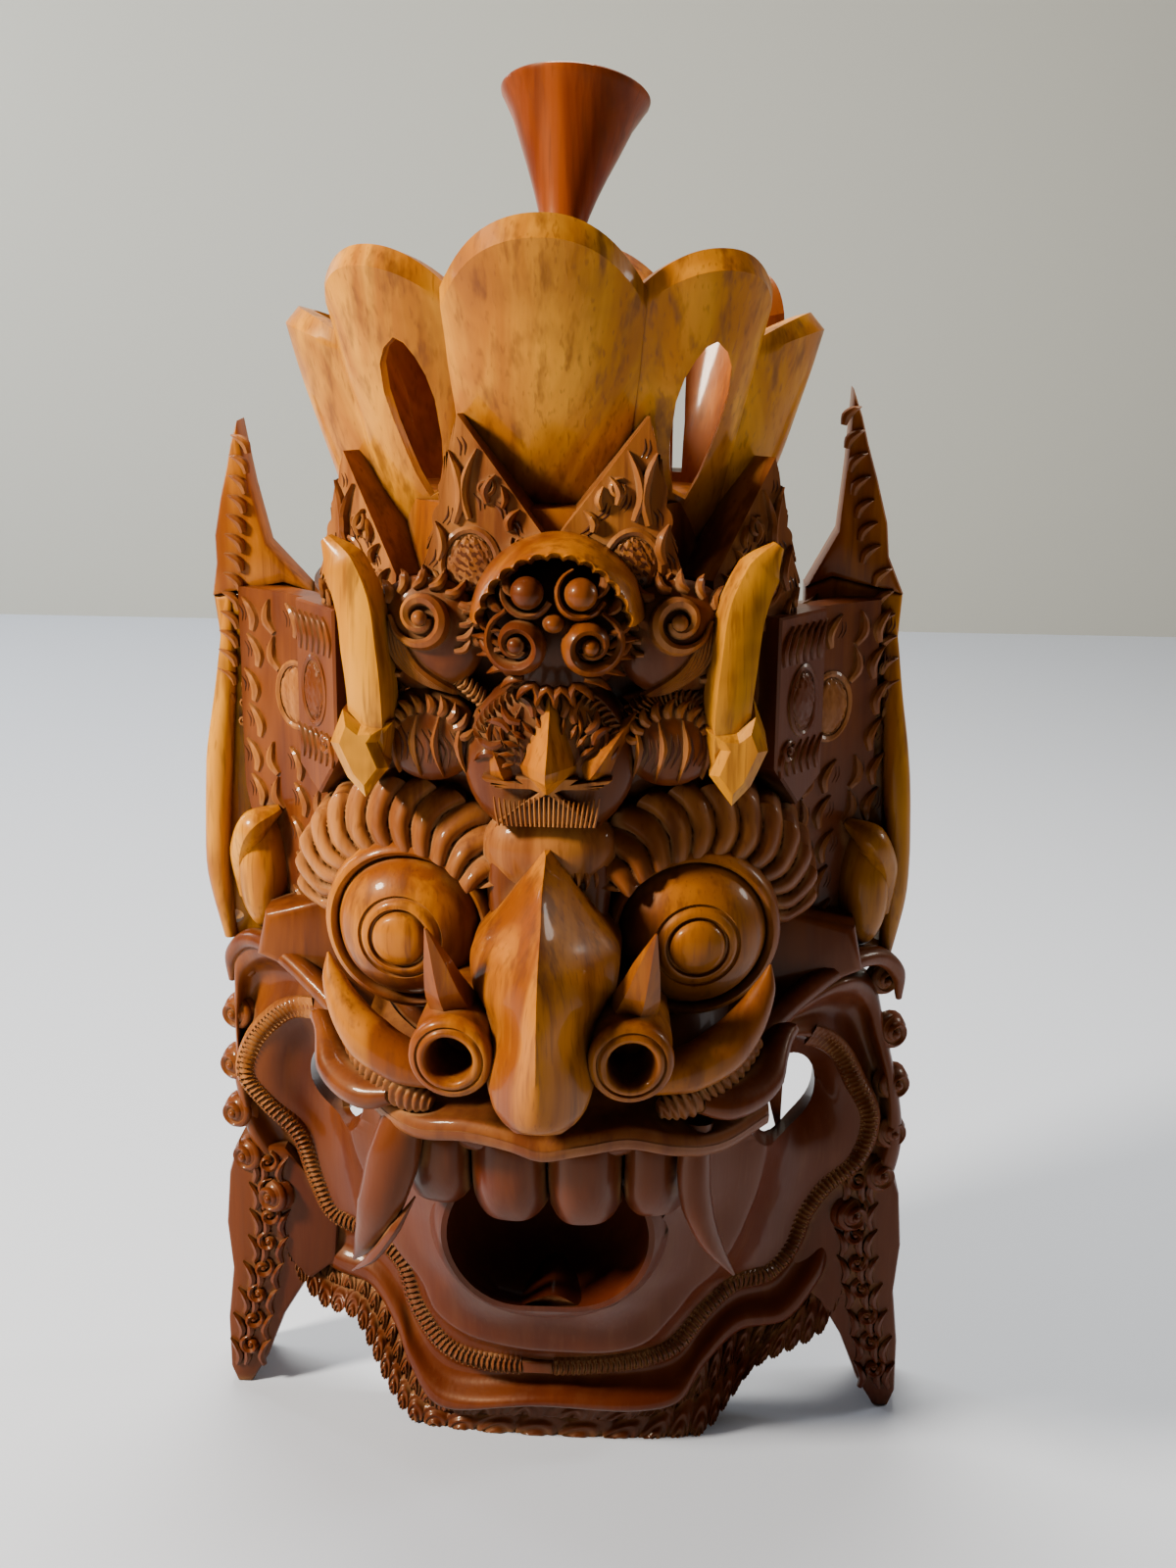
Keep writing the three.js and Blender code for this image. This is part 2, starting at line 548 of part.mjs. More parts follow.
function makeEars() {
  return bothSides((side) => {
    const outline = EAR_EDGE.map(([x, z]) => {
      if (side < 0) return [x, z];
      const up = Math.max(z - RIGHT_SPIRE.from, 0);
      return [-x * 0.955 - RIGHT_SPIRE.inward * up * (z > 390 ? 1 : 0.35), z + RIGHT_SPIRE.rise * up];
    });
    const wing = board(outline, 2, 18);
    const lobe = ball(at(side * 133, -5, 264), [11, 13, 28], 6, 4);
    const panel = slab(2, 2, (u, v, w) => {
      const height = mix(232, BAND_TOP - 1, v);
      return at(side * mix(98, 124, u), mix(-34, 2, u ** 0.7) + 14 * w, height - 10 * u * (1 - v));
    });
    return [wing, lobe, panel];
  });
}

const FOOT_EDGE = [
  [-128, 124], [-150, 126], [-155, 110], [-157, 84], [-155, 60], [-158, 34], [-158, 8], [-155, -2], [-148, -2], [-140, 14],
  [-131, 37], [-121, 54], [-106, 66], [-104, 92],
];

function makeFeet() {
  return bothSides((side) => [
    board(FOOT_EDGE.map(([x, z]) => [side * -x, z]), 2, FOOT_BACK - 2),
  ]);
}

function makeCheekCuts() {
  return bothSides((side) => {
    const bore = new THREE.CylinderGeometry(1, 1, 200, 14, 1).scale(CHEEK_HOLE.halfWidth, 1, CHEEK_HOLE.halfHeight);
    return [solid(bore.translate(side * CHEEK_HOLE.x, 60, CHEEK_HOLE.z))];
  });
}

function makeFins() {
  return bothSides((side) => [
    slab(1, 4, (u, v, w) => {
      const height = mix(146, 190, v);
      const middle = side * mix(98, 93, v);
      const half = w ? 3 : mix(1, 5, v);
      return at(middle + (2 * u - 1) * half, w ? 30 : mix(-4, -20, v), height);
    }),
  ]);
}

// ---------------------------------------------------------------- assembly

/** The finial's own axis runs up +Z here, from the foot of its stem. */
function makeFinial() {
  const { stem, rim, neckHeight, height } = FINIAL;
  const trumpet = height - neckHeight;
  const profile = [
    [0, 0], [stem, 0], [stem, neckHeight - 25], [stem + 1, neckHeight], [16.5, neckHeight + 0.42 * trumpet],
    [25, neckHeight + 0.8 * trumpet], [rim - 1, height - 1.5], [rim, height], [rim - 2, height + 0.5], [0, height - 2],
  ];
  return new THREE.LatheGeometry(profile.map(([radius, up]) => new THREE.Vector2(radius, up)), 16).rotateX(Math.PI / 2);
}

/** Puts something made about the finial's axis in its place. */
function planted(thing) {
  thing.rotation.set(-FINIAL.leanBack, FINIAL.leanRight, 0, "YXZ");
  thing.position.set(FINIAL.x, FINIAL.y, CROWN_FLOOR - SOCKET_DEEP);
  thing.updateMatrix();
  return thing;
}

function makeSocket() {
  const hole = new THREE.CylinderGeometry(FINIAL.stem + GAP, FINIAL.stem + GAP, 60, 16).rotateX(Math.PI / 2);
  hole.translate(0, 0, 30 - GAP);
  return solid(hole.applyMatrix4(planted(new THREE.Object3D()).matrix));
}

function makeMask() {
  const crown = makeCrown();
  const bowl = makeBowl();
  const wood = union([
    ...makeHead(),
    crown.cup,
    ...makeLeaves(),
    ...makeBandFront(),
    ...makeHorns(),
    ...makeEyes(),
    ...makeBrows(),
    makeNose(),
    makeBridge(),
    ...makeEyeHorns(),
    makeUpperLip(),
    ...makeMoustache(),
    makeFlange(),
    bowl.outer,
    makeBeard(),
    ...makeCurls(),
    ...makeEars(),
    ...makeFeet(),
  ]);
  const cuts = union([
    bowl.inner,
    ...crown.slots,
    ...makeCheekCuts(),
    makeSocket(),
    box(at(-300, -300, -60), at(300, 300, 0)),
  ]);
  return withoutPockets(union([
    wood.subtract(cuts), ...makeTeeth(), ...makeFangs(), ...makeFins(), ...makeNostrils(),
  ]));
}

function meshOf(name, geometry, color, roughness) {
  const mesh = new THREE.Mesh(geometry, new THREE.MeshStandardMaterial({ color, roughness, metalness: 0 }));
  mesh.name = name;
  return mesh;
}

function geometryOf(body) {
  const { vertProperties, triVerts } = body.getMesh();
  const geometry = new THREE.BufferGeometry();
  geometry.setAttribute("position", new THREE.Float32BufferAttribute(vertProperties, 3));
  geometry.setIndex(Array.from(triVerts));
  geometry.computeVertexNormals();
  return geometry;
}

const mask = meshOf("mask", geometryOf(makeMask()), 0x8f5524, 0.35);
const finial = planted(meshOf("finial", makeFinial(), 0x6e3317, 0.3));

const part = new THREE.Group();
part.add(mask, finial);
part.updateMatrixWorld(true);
const middle = new THREE.Box3().setFromObject(part, true).getCenter(new THREE.Vector3());
part.position.set(-middle.x, -middle.y, 0);

export default part;
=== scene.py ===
"""A carved wooden barong mask that stands on its two wing tips and its beard, with a turned trumpet in its crown.

Every piece is carved in millimetres, laid out from the front of the feet on the ground, and is set down
in the frame's metres when it is finished.
"""
from __future__ import annotations

import logging
import math
from dataclasses import dataclass
from enum import Enum
from typing import Callable, Sequence

import bmesh
import bpy
from mathutils import Matrix, Vector, noise

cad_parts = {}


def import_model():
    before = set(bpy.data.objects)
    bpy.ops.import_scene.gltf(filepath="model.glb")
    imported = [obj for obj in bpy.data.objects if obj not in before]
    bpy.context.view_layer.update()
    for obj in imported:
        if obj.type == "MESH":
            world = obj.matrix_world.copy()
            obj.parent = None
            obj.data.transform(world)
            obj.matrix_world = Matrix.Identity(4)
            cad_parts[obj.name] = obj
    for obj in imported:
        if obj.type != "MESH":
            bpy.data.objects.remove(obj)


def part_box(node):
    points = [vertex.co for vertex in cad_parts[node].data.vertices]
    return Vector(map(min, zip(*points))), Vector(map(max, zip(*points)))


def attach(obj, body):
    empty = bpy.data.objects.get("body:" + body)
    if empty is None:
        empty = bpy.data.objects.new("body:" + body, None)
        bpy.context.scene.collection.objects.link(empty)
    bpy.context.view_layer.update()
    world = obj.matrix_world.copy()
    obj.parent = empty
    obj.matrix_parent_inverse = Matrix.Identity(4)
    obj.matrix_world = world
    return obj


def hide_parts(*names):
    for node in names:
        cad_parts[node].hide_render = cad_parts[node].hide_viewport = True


log = logging.getLogger("barong_mask")

Point = tuple[float, float, float]
Flat = tuple[float, float]
Colour = tuple[float, float, float]

METRES = 0.001
WELD = 0.002
WAVER_SEED = 7
NOSE_TIP = -153.0          # the mask's foremost point, from the front of the feet
FRONT = Vector((0.0, -1.0, 0.0))
SIDES = (-1, 1)


# ---------------------------------------------------------------- small maths

def at(x: float, y: float, z: float) -> Vector:
    """A point."""
    return Vector((x, y, z))


def mix(low, high, share: float):
    """The value at `share` of the way from low to high."""
    return low + (high - low) * share


def clamp(value: float, low: float = 0.0, high: float = 1.0) -> float:
    """The value kept between low and high."""
    return min(max(value, low), high)


def ease(value: float, low: float = 0.0, high: float = 1.0) -> float:
    """A smooth step from 0 at low to 1 at high."""
    share = clamp((value - low) / (high - low))
    return share * share * (3 - 2 * share)


def hill(value: float, middle: float, width: float) -> float:
    """A bell-shaped rise round `middle`."""
    return math.exp(-((value - middle) / width) ** 2)


def graded(values: Sequence[float] | float, along: float) -> float:
    """The value at `along` (0 to 1) of evenly spaced values."""
    if isinstance(values, (int, float)):
        return float(values)
    place = clamp(along) * (len(values) - 1)
    first = min(int(place), len(values) - 2)
    return mix(values[first], values[first + 1], place - first)


def by_key(rows: Sequence[Sequence[float]], key: float) -> list[float]:
    """The values at `key` in rows of (key, value, value...) with rising keys."""
    upper = next((place for place, row in enumerate(rows) if row[0] >= key), len(rows) - 1)
    high, low = rows[max(upper, 1)], rows[max(upper, 1) - 1]
    share = clamp((key - low[0]) / (high[0] - low[0]))
    return [mix(one, two, share) for one, two in zip(low[1:], high[1:])]


class Rail:
    """A smooth line through given points (a centripetal Catmull-Rom curve)."""

    SAMPLES = 400

    def __init__(self, points: Sequence[Sequence[float]]) -> None:
        """Keeps the points."""
        self.points = [Vector(point) for point in points]
        self._lengths: list[float] = []

    def at(self, along: float) -> Vector:
        """The point at `along`, where every span between points has the same share."""
        points, last = self.points, len(self.points) - 1
        place = clamp(along) * last
        first = min(int(place), last - 1)
        share = place - first
        start, end = points[first], points[first + 1]
        before = points[first - 1] if first else start * 2 - end
        after = points[first + 2] if first + 2 <= last else end * 2 - start
        step_0 = max((start - before).length, 1e-6) ** 0.5
        step_1 = max((end - start).length, 1e-6) ** 0.5
        step_2 = max((after - end).length, 1e-6) ** 0.5
        leave = ((start - before) / step_0 - (end - before) / (step_0 + step_1) + (end - start) / step_1) * step_1
        arrive = ((end - start) / step_1 - (after - start) / (step_1 + step_2) + (after - end) / step_2) * step_1
        square, cube = share * share, share ** 3
        return (
            start * (2 * cube - 3 * square + 1) + leave * (cube - 2 * square + share)
            + end * (3 * square - 2 * cube) + arrive * (cube - square)
        )

    def ahead(self, along: float) -> Vector:
        """The direction of travel at `along`."""
        low, high = clamp(along - 1e-3), clamp(along + 1e-3)
        return (self.at(high) - self.at(low)).normalized()

    def _measure(self) -> None:
        """Works out how far along the line each sample is."""
        walked, last = 0.0, self.at(0)
        self._lengths = [0.0]
        for number in range(1, self.SAMPLES + 1):
            here = self.at(number / self.SAMPLES)
            walked += (here - last).length
            self._lengths.append(walked)
            last = here

    def length(self) -> float:
        """The line's length."""
        if not self._lengths:
            self._measure()
        return self._lengths[-1]

    def even(self, share: float) -> float:
        """The `along` that lies at `share` of the line's length."""
        goal = self.length() * clamp(share)
        low, high = 0, self.SAMPLES
        while high - low > 1:
            middle = (low + high) // 2
            if self._lengths[middle] <= goal:
                low = middle
            else:
                high = middle
        gap = max(self._lengths[high] - self._lengths[low], 1e-9)
        return (low + (goal - self._lengths[low]) / gap) / self.SAMPLES


Place2 = Callable[[float, float], Vector]
Place3 = Callable[[float, float, float], Vector]


# ---------------------------------------------------------------- carving

@dataclass(frozen=True)
class Ground:
    """Where the carver's own ground point lies in the frame."""

    shift: float

    @classmethod
    def of_frame(cls) -> "Ground":
        """Reads the shift from the mask's box: its foremost point is the tip of the nose."""
        low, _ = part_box("mask")
        return cls(low[1] / METRES - NOSE_TIP)

    def matrix(self) -> Matrix:
        """From carving millimetres to the frame's metres."""
        return Matrix.Scale(METRES, 4) @ Matrix.Translation((0, self.shift, 0))


class Face:
    """A surface that ornament is laid on: flat coordinates in, points and directions in space out."""

    STEP = 0.4

    def __init__(self, surface: Place2) -> None:
        """Keeps the surface, a function of two flat coordinates."""
        self.surface = surface

    def at(self, x: float, z: float, lift: float = 0.0) -> Vector:
        """The point over (x, z), `lift` off the surface."""
        return self.surface(x, z) + self.out(x, z) * lift

    def out(self, x: float, z: float) -> Vector:
        """The direction off the surface, towards the front."""
        across = self.surface(x + self.STEP, z) - self.surface(x - self.STEP, z)
        up = self.surface(x, z + self.STEP) - self.surface(x, z - self.STEP)
        away = across.cross(up)
        if away.length < 1e-9:
            return FRONT
        away.normalize()
        return -away if away.y > 0 else away


def board_face(front: float, turn: float = 0.0, about: Vector | None = None, lean: float = 0.0) -> Face:
    """The front of a board that is turned and leaned about a point."""
    pivot = about or at(0, front, 0)
    matrix = (
        Matrix.Translation(pivot) @ Matrix.Rotation(turn, 4, "Z") @ Matrix.Rotation(lean, 4, "X")
        @ Matrix.Translation(-pivot)
    )
    return Face(lambda x, z: matrix @ at(x, front, z))


class Carving:
    """One piece of carved wood: shapes are made by bmesh operators and gathered into one mesh."""

    def __init__(self, name: str) -> None:
        """Starts with nothing."""
        self.name = name
        self.wood = bmesh.new()

    def take(self, shape: bmesh.types.BMesh) -> None:
        """Adds a shape to the piece."""
        chip = bpy.data.meshes.new("chip")
        shape.to_mesh(chip)
        shape.free()
        self.wood.from_mesh(chip)
        bpy.data.meshes.remove(chip)

    def closed(self, shape: bmesh.types.BMesh) -> None:
        """Welds a shape, turns its faces outwards and adds it."""
        bmesh.ops.remove_doubles(shape, verts=shape.verts, dist=WELD)
        bmesh.ops.dissolve_degenerate(shape, dist=WELD, edges=shape.edges)
        bmesh.ops.recalc_face_normals(shape, faces=shape.faces)
        self.take(shape)

    def slab(self, u_steps: int, v_steps: int, place: Place3) -> None:
        """A block whose corners go to place(u, v, w): u and v run over its face and w is 0 in front, 1 behind."""
        shape = bmesh.new()
        bmesh.ops.create_grid(shape, x_segments=u_steps, y_segments=v_steps, size=0.5)
        grown = bmesh.ops.extrude_face_region(shape, geom=shape.faces[:], use_keep_orig=True)
        behind = [item for item in grown["geom"] if isinstance(item, bmesh.types.BMVert)]
        bmesh.ops.translate(shape, verts=behind, vec=(0, 0, 1))
        for corner in shape.verts:
            corner.co = place(corner.co.x + 0.5, corner.co.y + 0.5, corner.co.z)
        self.closed(shape)

    def relief(self, u_steps: int, v_steps: int, face: Place2, back: Place2) -> None:
        """A finely carved face over a plain block: only the rim of the back is used."""
        shape = bmesh.new()
        bmesh.ops.create_grid(shape, x_segments=u_steps, y_segments=v_steps, size=0.5)
        rim = [edge for edge in shape.edges if edge.is_boundary]
        grown = bmesh.ops.extrude_edge_only(shape, edges=rim)
        behind = [item for item in grown["geom"] if isinstance(item, bmesh.types.BMVert)]
        bmesh.ops.translate(shape, verts=behind, vec=(0, 0, 1))
        bmesh.ops.edgeloop_fill(shape, edges=[edge for edge in shape.edges if edge.is_boundary])
        for corner in shape.verts:
            surface = back if corner.co.z > 0.5 else face
            corner.co = surface(corner.co.x + 0.5, corner.co.y + 0.5)
        self.closed(shape)

    def limb(
        self, path: Sequence[Sequence[float]], breadth: Sequence[float] | float, depth: Sequence[float] | float,
        sides: int = 10, steps: int = 14, facing: Vector = FRONT,
    ) -> None:
        """A bar along a smooth path.

        Args:
            path: points that the bar runs through.
            breadth: half its size across the path, along it.
            depth: half its size towards `facing`, along it.
            sides: how many sides it has.
            steps: how many stretches it has.
            facing: where its depth points.
        """
        line = Rail(path)
        shape = bmesh.new()
        bmesh.ops.create_cone(shape, cap_ends=True, segments=sides, radius1=1, radius2=1, depth=1)
        long_edges = [edge for edge in shape.edges if abs(edge.verts[0].co.z - edge.verts[1].co.z) > 0.5]
        bmesh.ops.subdivide_edges(shape, edges=long_edges, cuts=steps - 1, use_grid_fill=True)
        for corner in shape.verts:
            along = corner.co.z + 0.5
            ahead = line.ahead(along)
            across = ahead.cross(facing).normalized()
            lift = across.cross(ahead).normalized()
            corner.co = (
                line.at(along) + across * (corner.co.x * graded(breadth, along))
                + lift * (corner.co.y * graded(depth, along))
            )
        self.closed(shape)

    def turned(self, profile: Sequence[Flat], sides: int, place: Vector, facing: Vector = FRONT) -> None:
        """A form turned round an axis: its profile is (radius, height) along `facing` from `place`."""
        shape = bmesh.new()
        corners = [shape.verts.new((radius, 0, height)) for radius, height in profile]
        edges = [shape.edges.new(pair) for pair in zip(corners, corners[1:])]
        bmesh.ops.spin(
            shape, geom=corners + edges, cent=(0, 0, 0), axis=(0, 0, 1), dvec=(0, 0, 0), angle=math.tau,
            steps=sides, use_merge=True,
        )
        turn = at(0, 0, 1).rotation_difference(facing.normalized()).to_matrix().to_4x4()
        bmesh.ops.transform(shape, matrix=Matrix.Translation(place) @ turn, verts=shape.verts)
        self.closed(shape)

    def ball(self, place: Vector, size: Point, sides: int = 16, rings: int = 10, turn: float = 0.0) -> None:
        """An oval ball, turned about the upright."""
        shape = bmesh.new()
        bmesh.ops.create_uvsphere(shape, u_segments=sides, v_segments=rings, radius=1)
        matrix = Matrix.Translation(place) @ Matrix.Rotation(turn, 4, "Z") @ Matrix.Diagonal((*size, 1))
        bmesh.ops.transform(shape, matrix=matrix, verts=shape.verts)
        self.closed(shape)

    def board(
        self, outline: Sequence[Flat], front: float, thick: float, turn: float = 0.0,
        about: Vector | None = None, lean: float = 0.0, bevel: float = 0.0, rounds: int = 1,
    ) -> None:
        """A board cut to an outline of (x, z) corners, from `front` back by `thick`."""
        shape = bmesh.new()
        corners = [shape.verts.new((x, front, z)) for x, z in outline]
        bmesh.ops.contextual_create(shape, geom=corners)
        grown = bmesh.ops.extrude_face_region(shape, geom=shape.faces[:], use_keep_orig=True)
        behind = [item for item in grown["geom"] if isinstance(item, bmesh.types.BMVert)]
        bmesh.ops.translate(shape, verts=behind, vec=(0, thick, 0))
        bmesh.ops.recalc_face_normals(shape, faces=shape.faces)
        if bevel:
            edges = [edge for edge in shape.edges if all(abs(corner.co.y - front) < 1e-4 for corner in edge.verts)]
            bmesh.ops.bevel(
                shape, geom=edges, offset=bevel, offset_type="OFFSET", segments=rounds, profile=0.5,
                affect="EDGES", material=-1, clamp_overlap=True,
            )
        pivot = about or at(0, front, 0)
        matrix = (
            Matrix.Translation(pivot) @ Matrix.Rotation(turn, 4, "Z") @ Matrix.Rotation(lean, 4, "X")
            @ Matrix.Translation(-pivot)
        )
        bmesh.ops.transform(shape, matrix=matrix, verts=shape.verts)
        self.closed(shape)

    # ------------------------------------------------------------ ornament laid on a face

    def stroke(
        self, ground: Face, path: Sequence[Flat], width: Sequence[float] | float, height: float,
        sides: int = 6, steps: int = 8,
    ) -> None:
        """A raised stroke of the knife along a flat path, thinning at its ends."""
        line = Rail([(x, 0, z) for x, z in path])
        widths = width if not isinstance(width, (int, float)) else (0.25 * width, width, width, 0.2 * width)
        middle = line.at(0.5)
        points = [ground.at(spot.x, spot.z) for spot in (line.at(step / steps) for step in range(steps + 1))]
        depths = [max(height * (0.35 + 0.65 * math.sin(math.pi * (0.08 + 0.84 * step / 8))), 0.2) for step in range(9)]
        self.limb(points, widths, depths, sides, steps, ground.out(middle.x, middle.z))

    def scroll(
        self, ground: Face, centre: Flat, radius: float, turns: float, start: float, hand: int,
        width: float, height: float,
    ) -> None:
        """A spiral that winds in to a bud.

        Args:
            ground: the face it lies on.
            centre: its middle.
            radius: how far out it starts.
            turns: how many times it goes round.
            start: where it starts, in turns from the right.
            hand: 1 to wind anticlockwise, -1 clockwise.
            width: half its breadth where it is broadest.
            height: how far it stands up.
        """
        count = max(int(turns * 10), 4)
        path = []
        for step in range(count + 1):
            share = step / count
            swing = math.tau * (start + hand * turns * share)
            reach = mix(radius, radius * 0.24, share ** 0.8)
            path.append((centre[0] + reach * math.cos(swing), centre[1] + reach * math.sin(swing)))
        self.stroke(ground, path, (0.3 * width, width, width * 0.9, width * 0.7, width * 0.5), height, 8, 3 * count)
        self.ball(ground.at(*centre, height * 0.4), (radius * 0.26, radius * 0.26, radius * 0.26), 12, 8)

    def flame(
        self, ground: Face, root: Flat, tip: Flat, bend: float, width: float, height: float,
    ) -> None:
        """A leaf-like tongue that bends to one side and ends in a point."""
        along = Vector((tip[0] - root[0], tip[1] - root[1]))
        across = Vector((-along.y, along.x))
        path = [
            (root[0] + along.x * share + across.x * sway * bend, root[1] + along.y * share + across.y * sway * bend)
            for share, sway in ((0, 0), (0.35, 0.22), (0.7, 0.12), (1, -0.12))
        ]
        self.stroke(ground, path, (0.6 * width, width, 0.75 * width, 0.08 * width), height, 8, 10)

    def hatch(self, ground: Face, centre: Flat, half: Flat, ring: float = 1.6) -> None:
        """A cross-hatched oval boss inside a raised ring."""
        rounds = 28
        oval = [
            (centre[0] + half[0] * math.cos(math.tau * step / rounds),
             centre[1] + half[1] * math.sin(math.tau * step / rounds))
            for step in range(rounds + 1)
        ]
        self.stroke(ground, oval, (ring, ring, ring), ring, 6, rounds)
        middle = ground.at(*centre)
        out = ground.out(*centre)
        shape = bmesh.new()
        bmesh.ops.create_uvsphere(shape, u_segments=40, v_segments=24, radius=1)
        for corner in shape.verts:
            x, z = corner.co.x * half[0] * 0.86, corner.co.z * half[1] * 0.86
            groove = max(hill(((x + z * 0.55) / 3.4) % 1, 0.5, 0.16), hill(((x - z * 0.55) / 3.4) % 1, 0.5, 0.16))
            lift = -corner.co.y * 2.2 - (0.8 * groove if corner.co.y < -0.2 else 0)
            spot = ground.surface(centre[0] + x, centre[1] + z) if corner.co.y < 0 else middle
            corner.co = (ground.surface(centre[0] + x, centre[1] + z) if corner.co.y < 0 else spot) + out * lift
            if lift < 0:
                corner.co = ground.surface(centre[0] + x, centre[1] + z) - out * 1.5
        self.closed(shape)

    def gouges(self, ground: Face, spots: Sequence[tuple[float, float, float]], length: float, width: float = 0.6) -> None:
        """Pairs of crescent cuts at (x, z, lean) spots, as the gouge leaves them."""
        # Each cut is a low raised stroke; the very dark finish it is set down in paints the shadow in the cut.
        for x, z, lean in spots:
            for shift in (-0.5, 0.5):
                ahead = (math.sin(lean) * length / 2, math.cos(lean) * length / 2)
                side = (math.cos(lean) * width * 3 * shift, -math.sin(lean) * width * 3 * shift)
                bow = (side[0] + math.cos(lean) * length * 0.14, side[1] - math.sin(lean) * length * 0.14)
                self.stroke(ground, [(x + side[0] - ahead[0], z + side[1] - ahead[1]), (x + bow[0], z + bow[1]),
                                     (x + side[0] + ahead[0], z + side[1] + ahead[1])], (0.1, width, 0.1), 0.3, 5, 6)

    def tufts(
        self, ground: Face, path: Sequence[Flat], count: int, length: float, lean: float,
        width: float, height: float,
    ) -> None:
        """A row of short curved strokes that stand off a path, like a bristle fringe."""
        line = Rail([(x, 0, z) for x, z in path])
        for number in range(count):
            along = (number + 0.5) / count
            root, ahead = line.at(along), line.ahead(along)
            side = Vector((-ahead.z, 0, ahead.x))
            way = (side * math.cos(lean) + Vector((ahead.x, 0, ahead.z)) * math.sin(lean)) * length
            sway = Vector((ahead.x, 0, ahead.z)) * length * 0.16
            points = [root, root + way * 0.5 + sway, root + way]
            self.stroke(ground, [(spot.x, spot.z) for spot in points], (width, width, 0.15 * width), height, 5, 4)

    def snail(self, place: Vector, size: float, hand: int, facing: Vector = FRONT) -> None:
        """A round knob cut as a snail's shell."""
        turn = at(0, -1, 0).rotation_difference(facing.normalized()).to_matrix()
        dome = [(0, size * 0.62), (size * 0.5, size * 0.5), (size * 0.86, size * 0.2), (size, -size * 0.25), (0, -size * 0.4)]
        self.turned(dome, 16, place, facing)
        ground = Face(lambda x, z: place + turn @ at(
            x, -size * (0.5 - 0.45 * clamp(math.hypot(x, z) / size) ** 2), z))
        self.scroll(ground, (0, 0), size * 0.88, 1.6, 0.25, hand, size * 0.2, size * 0.3)

    def pierce(self, centre: Flat, half: Flat) -> None:
        """Opens an oval hole from front to back through a slab."""
        def away(spot: Vector) -> float:
            return math.hypot((spot.x - centre[0]) / half[0], (spot.z - centre[1]) / half[1])

        inside = [face for face in self.wood.faces if away(face.calc_center_median()) < 1]
        bmesh.ops.delete(self.wood, geom=inside, context="FACES")
        rims = [edge for edge in self.wood.edges if edge.is_boundary]
        for corner in {corner for edge in rims for corner in edge.verts}:
            swing = math.atan2((corner.co.z - centre[1]) / half[1], (corner.co.x - centre[0]) / half[0])
            corner.co.x = centre[0] + half[0] * math.cos(swing)
            corner.co.z = centre[1] + half[1] * math.sin(swing)
        bmesh.ops.bridge_loops(self.wood, edges=rims)

    def cut(self, outlines: Sequence[Sequence[Flat]], front: float, thick: float) -> None:
        """Cuts holes of the given (x, z) outlines from front to back through the piece."""
        block = bpy.data.meshes.new(self.name)
        self.wood.to_mesh(block)
        body = bpy.data.objects.new("body", block)
        tool = Carving("tool")
        for outline in outlines:
            tool.board(outline, front, thick)
        blade_mesh = bpy.data.meshes.new("blade")
        tool.wood.to_mesh(blade_mesh)
        tool.wood.free()
        blade = bpy.data.objects.new("blade", blade_mesh)
        for item in (body, blade):
            bpy.context.scene.collection.objects.link(item)
        knife = body.modifiers.new("hole", "BOOLEAN")
        knife.operation = "DIFFERENCE"
        knife.solver = "EXACT"
        knife.object = blade
        worked = bpy.data.meshes.new_from_object(body.evaluated_get(bpy.context.evaluated_depsgraph_get()))
        self.wood.clear()
        self.wood.from_mesh(worked)
        for item in (body, blade):
            bpy.data.objects.remove(item)
        for mesh in (block, blade_mesh, worked):
            bpy.data.meshes.remove(mesh)

    def done(self, ground: Ground, material: bpy.types.Material, crease: float = 38.0, waver: float = 0.35) -> bpy.types.Object:
        """Sets the piece down in the frame and gives it its material.

        Args:
            ground: where the carver's ground point is.
            material: the finish.
            crease: edges sharper than this many degrees stay crisp.
            waver: how far the knife strayed, in millimetres.

        Returns:
            The finished object.
        """
        for corner in self.wood.verts:
            corner.co += noise.noise_vector(corner.co * 0.045) * waver
        for face in self.wood.faces:
            face.smooth = True
        bmesh.ops.transform(self.wood, matrix=ground.matrix(), verts=self.wood.verts)
        mesh = bpy.data.meshes.new(self.name)
        self.wood.to_mesh(mesh)
        self.wood.free()
        mesh.set_sharp_from_angle(angle=math.radians(crease))
        mesh.materials.append(material)
        piece = bpy.data.objects.new(self.name, mesh)
        bpy.context.scene.collection.objects.link(piece)
        depth = [corner.co.y for corner in mesh.vertices]
        log.info("%s: %d faces, %.3f to %.3f deep", self.name, len(mesh.polygons), min(depth), max(depth))
        return piece


# ---------------------------------------------------------------- finishes

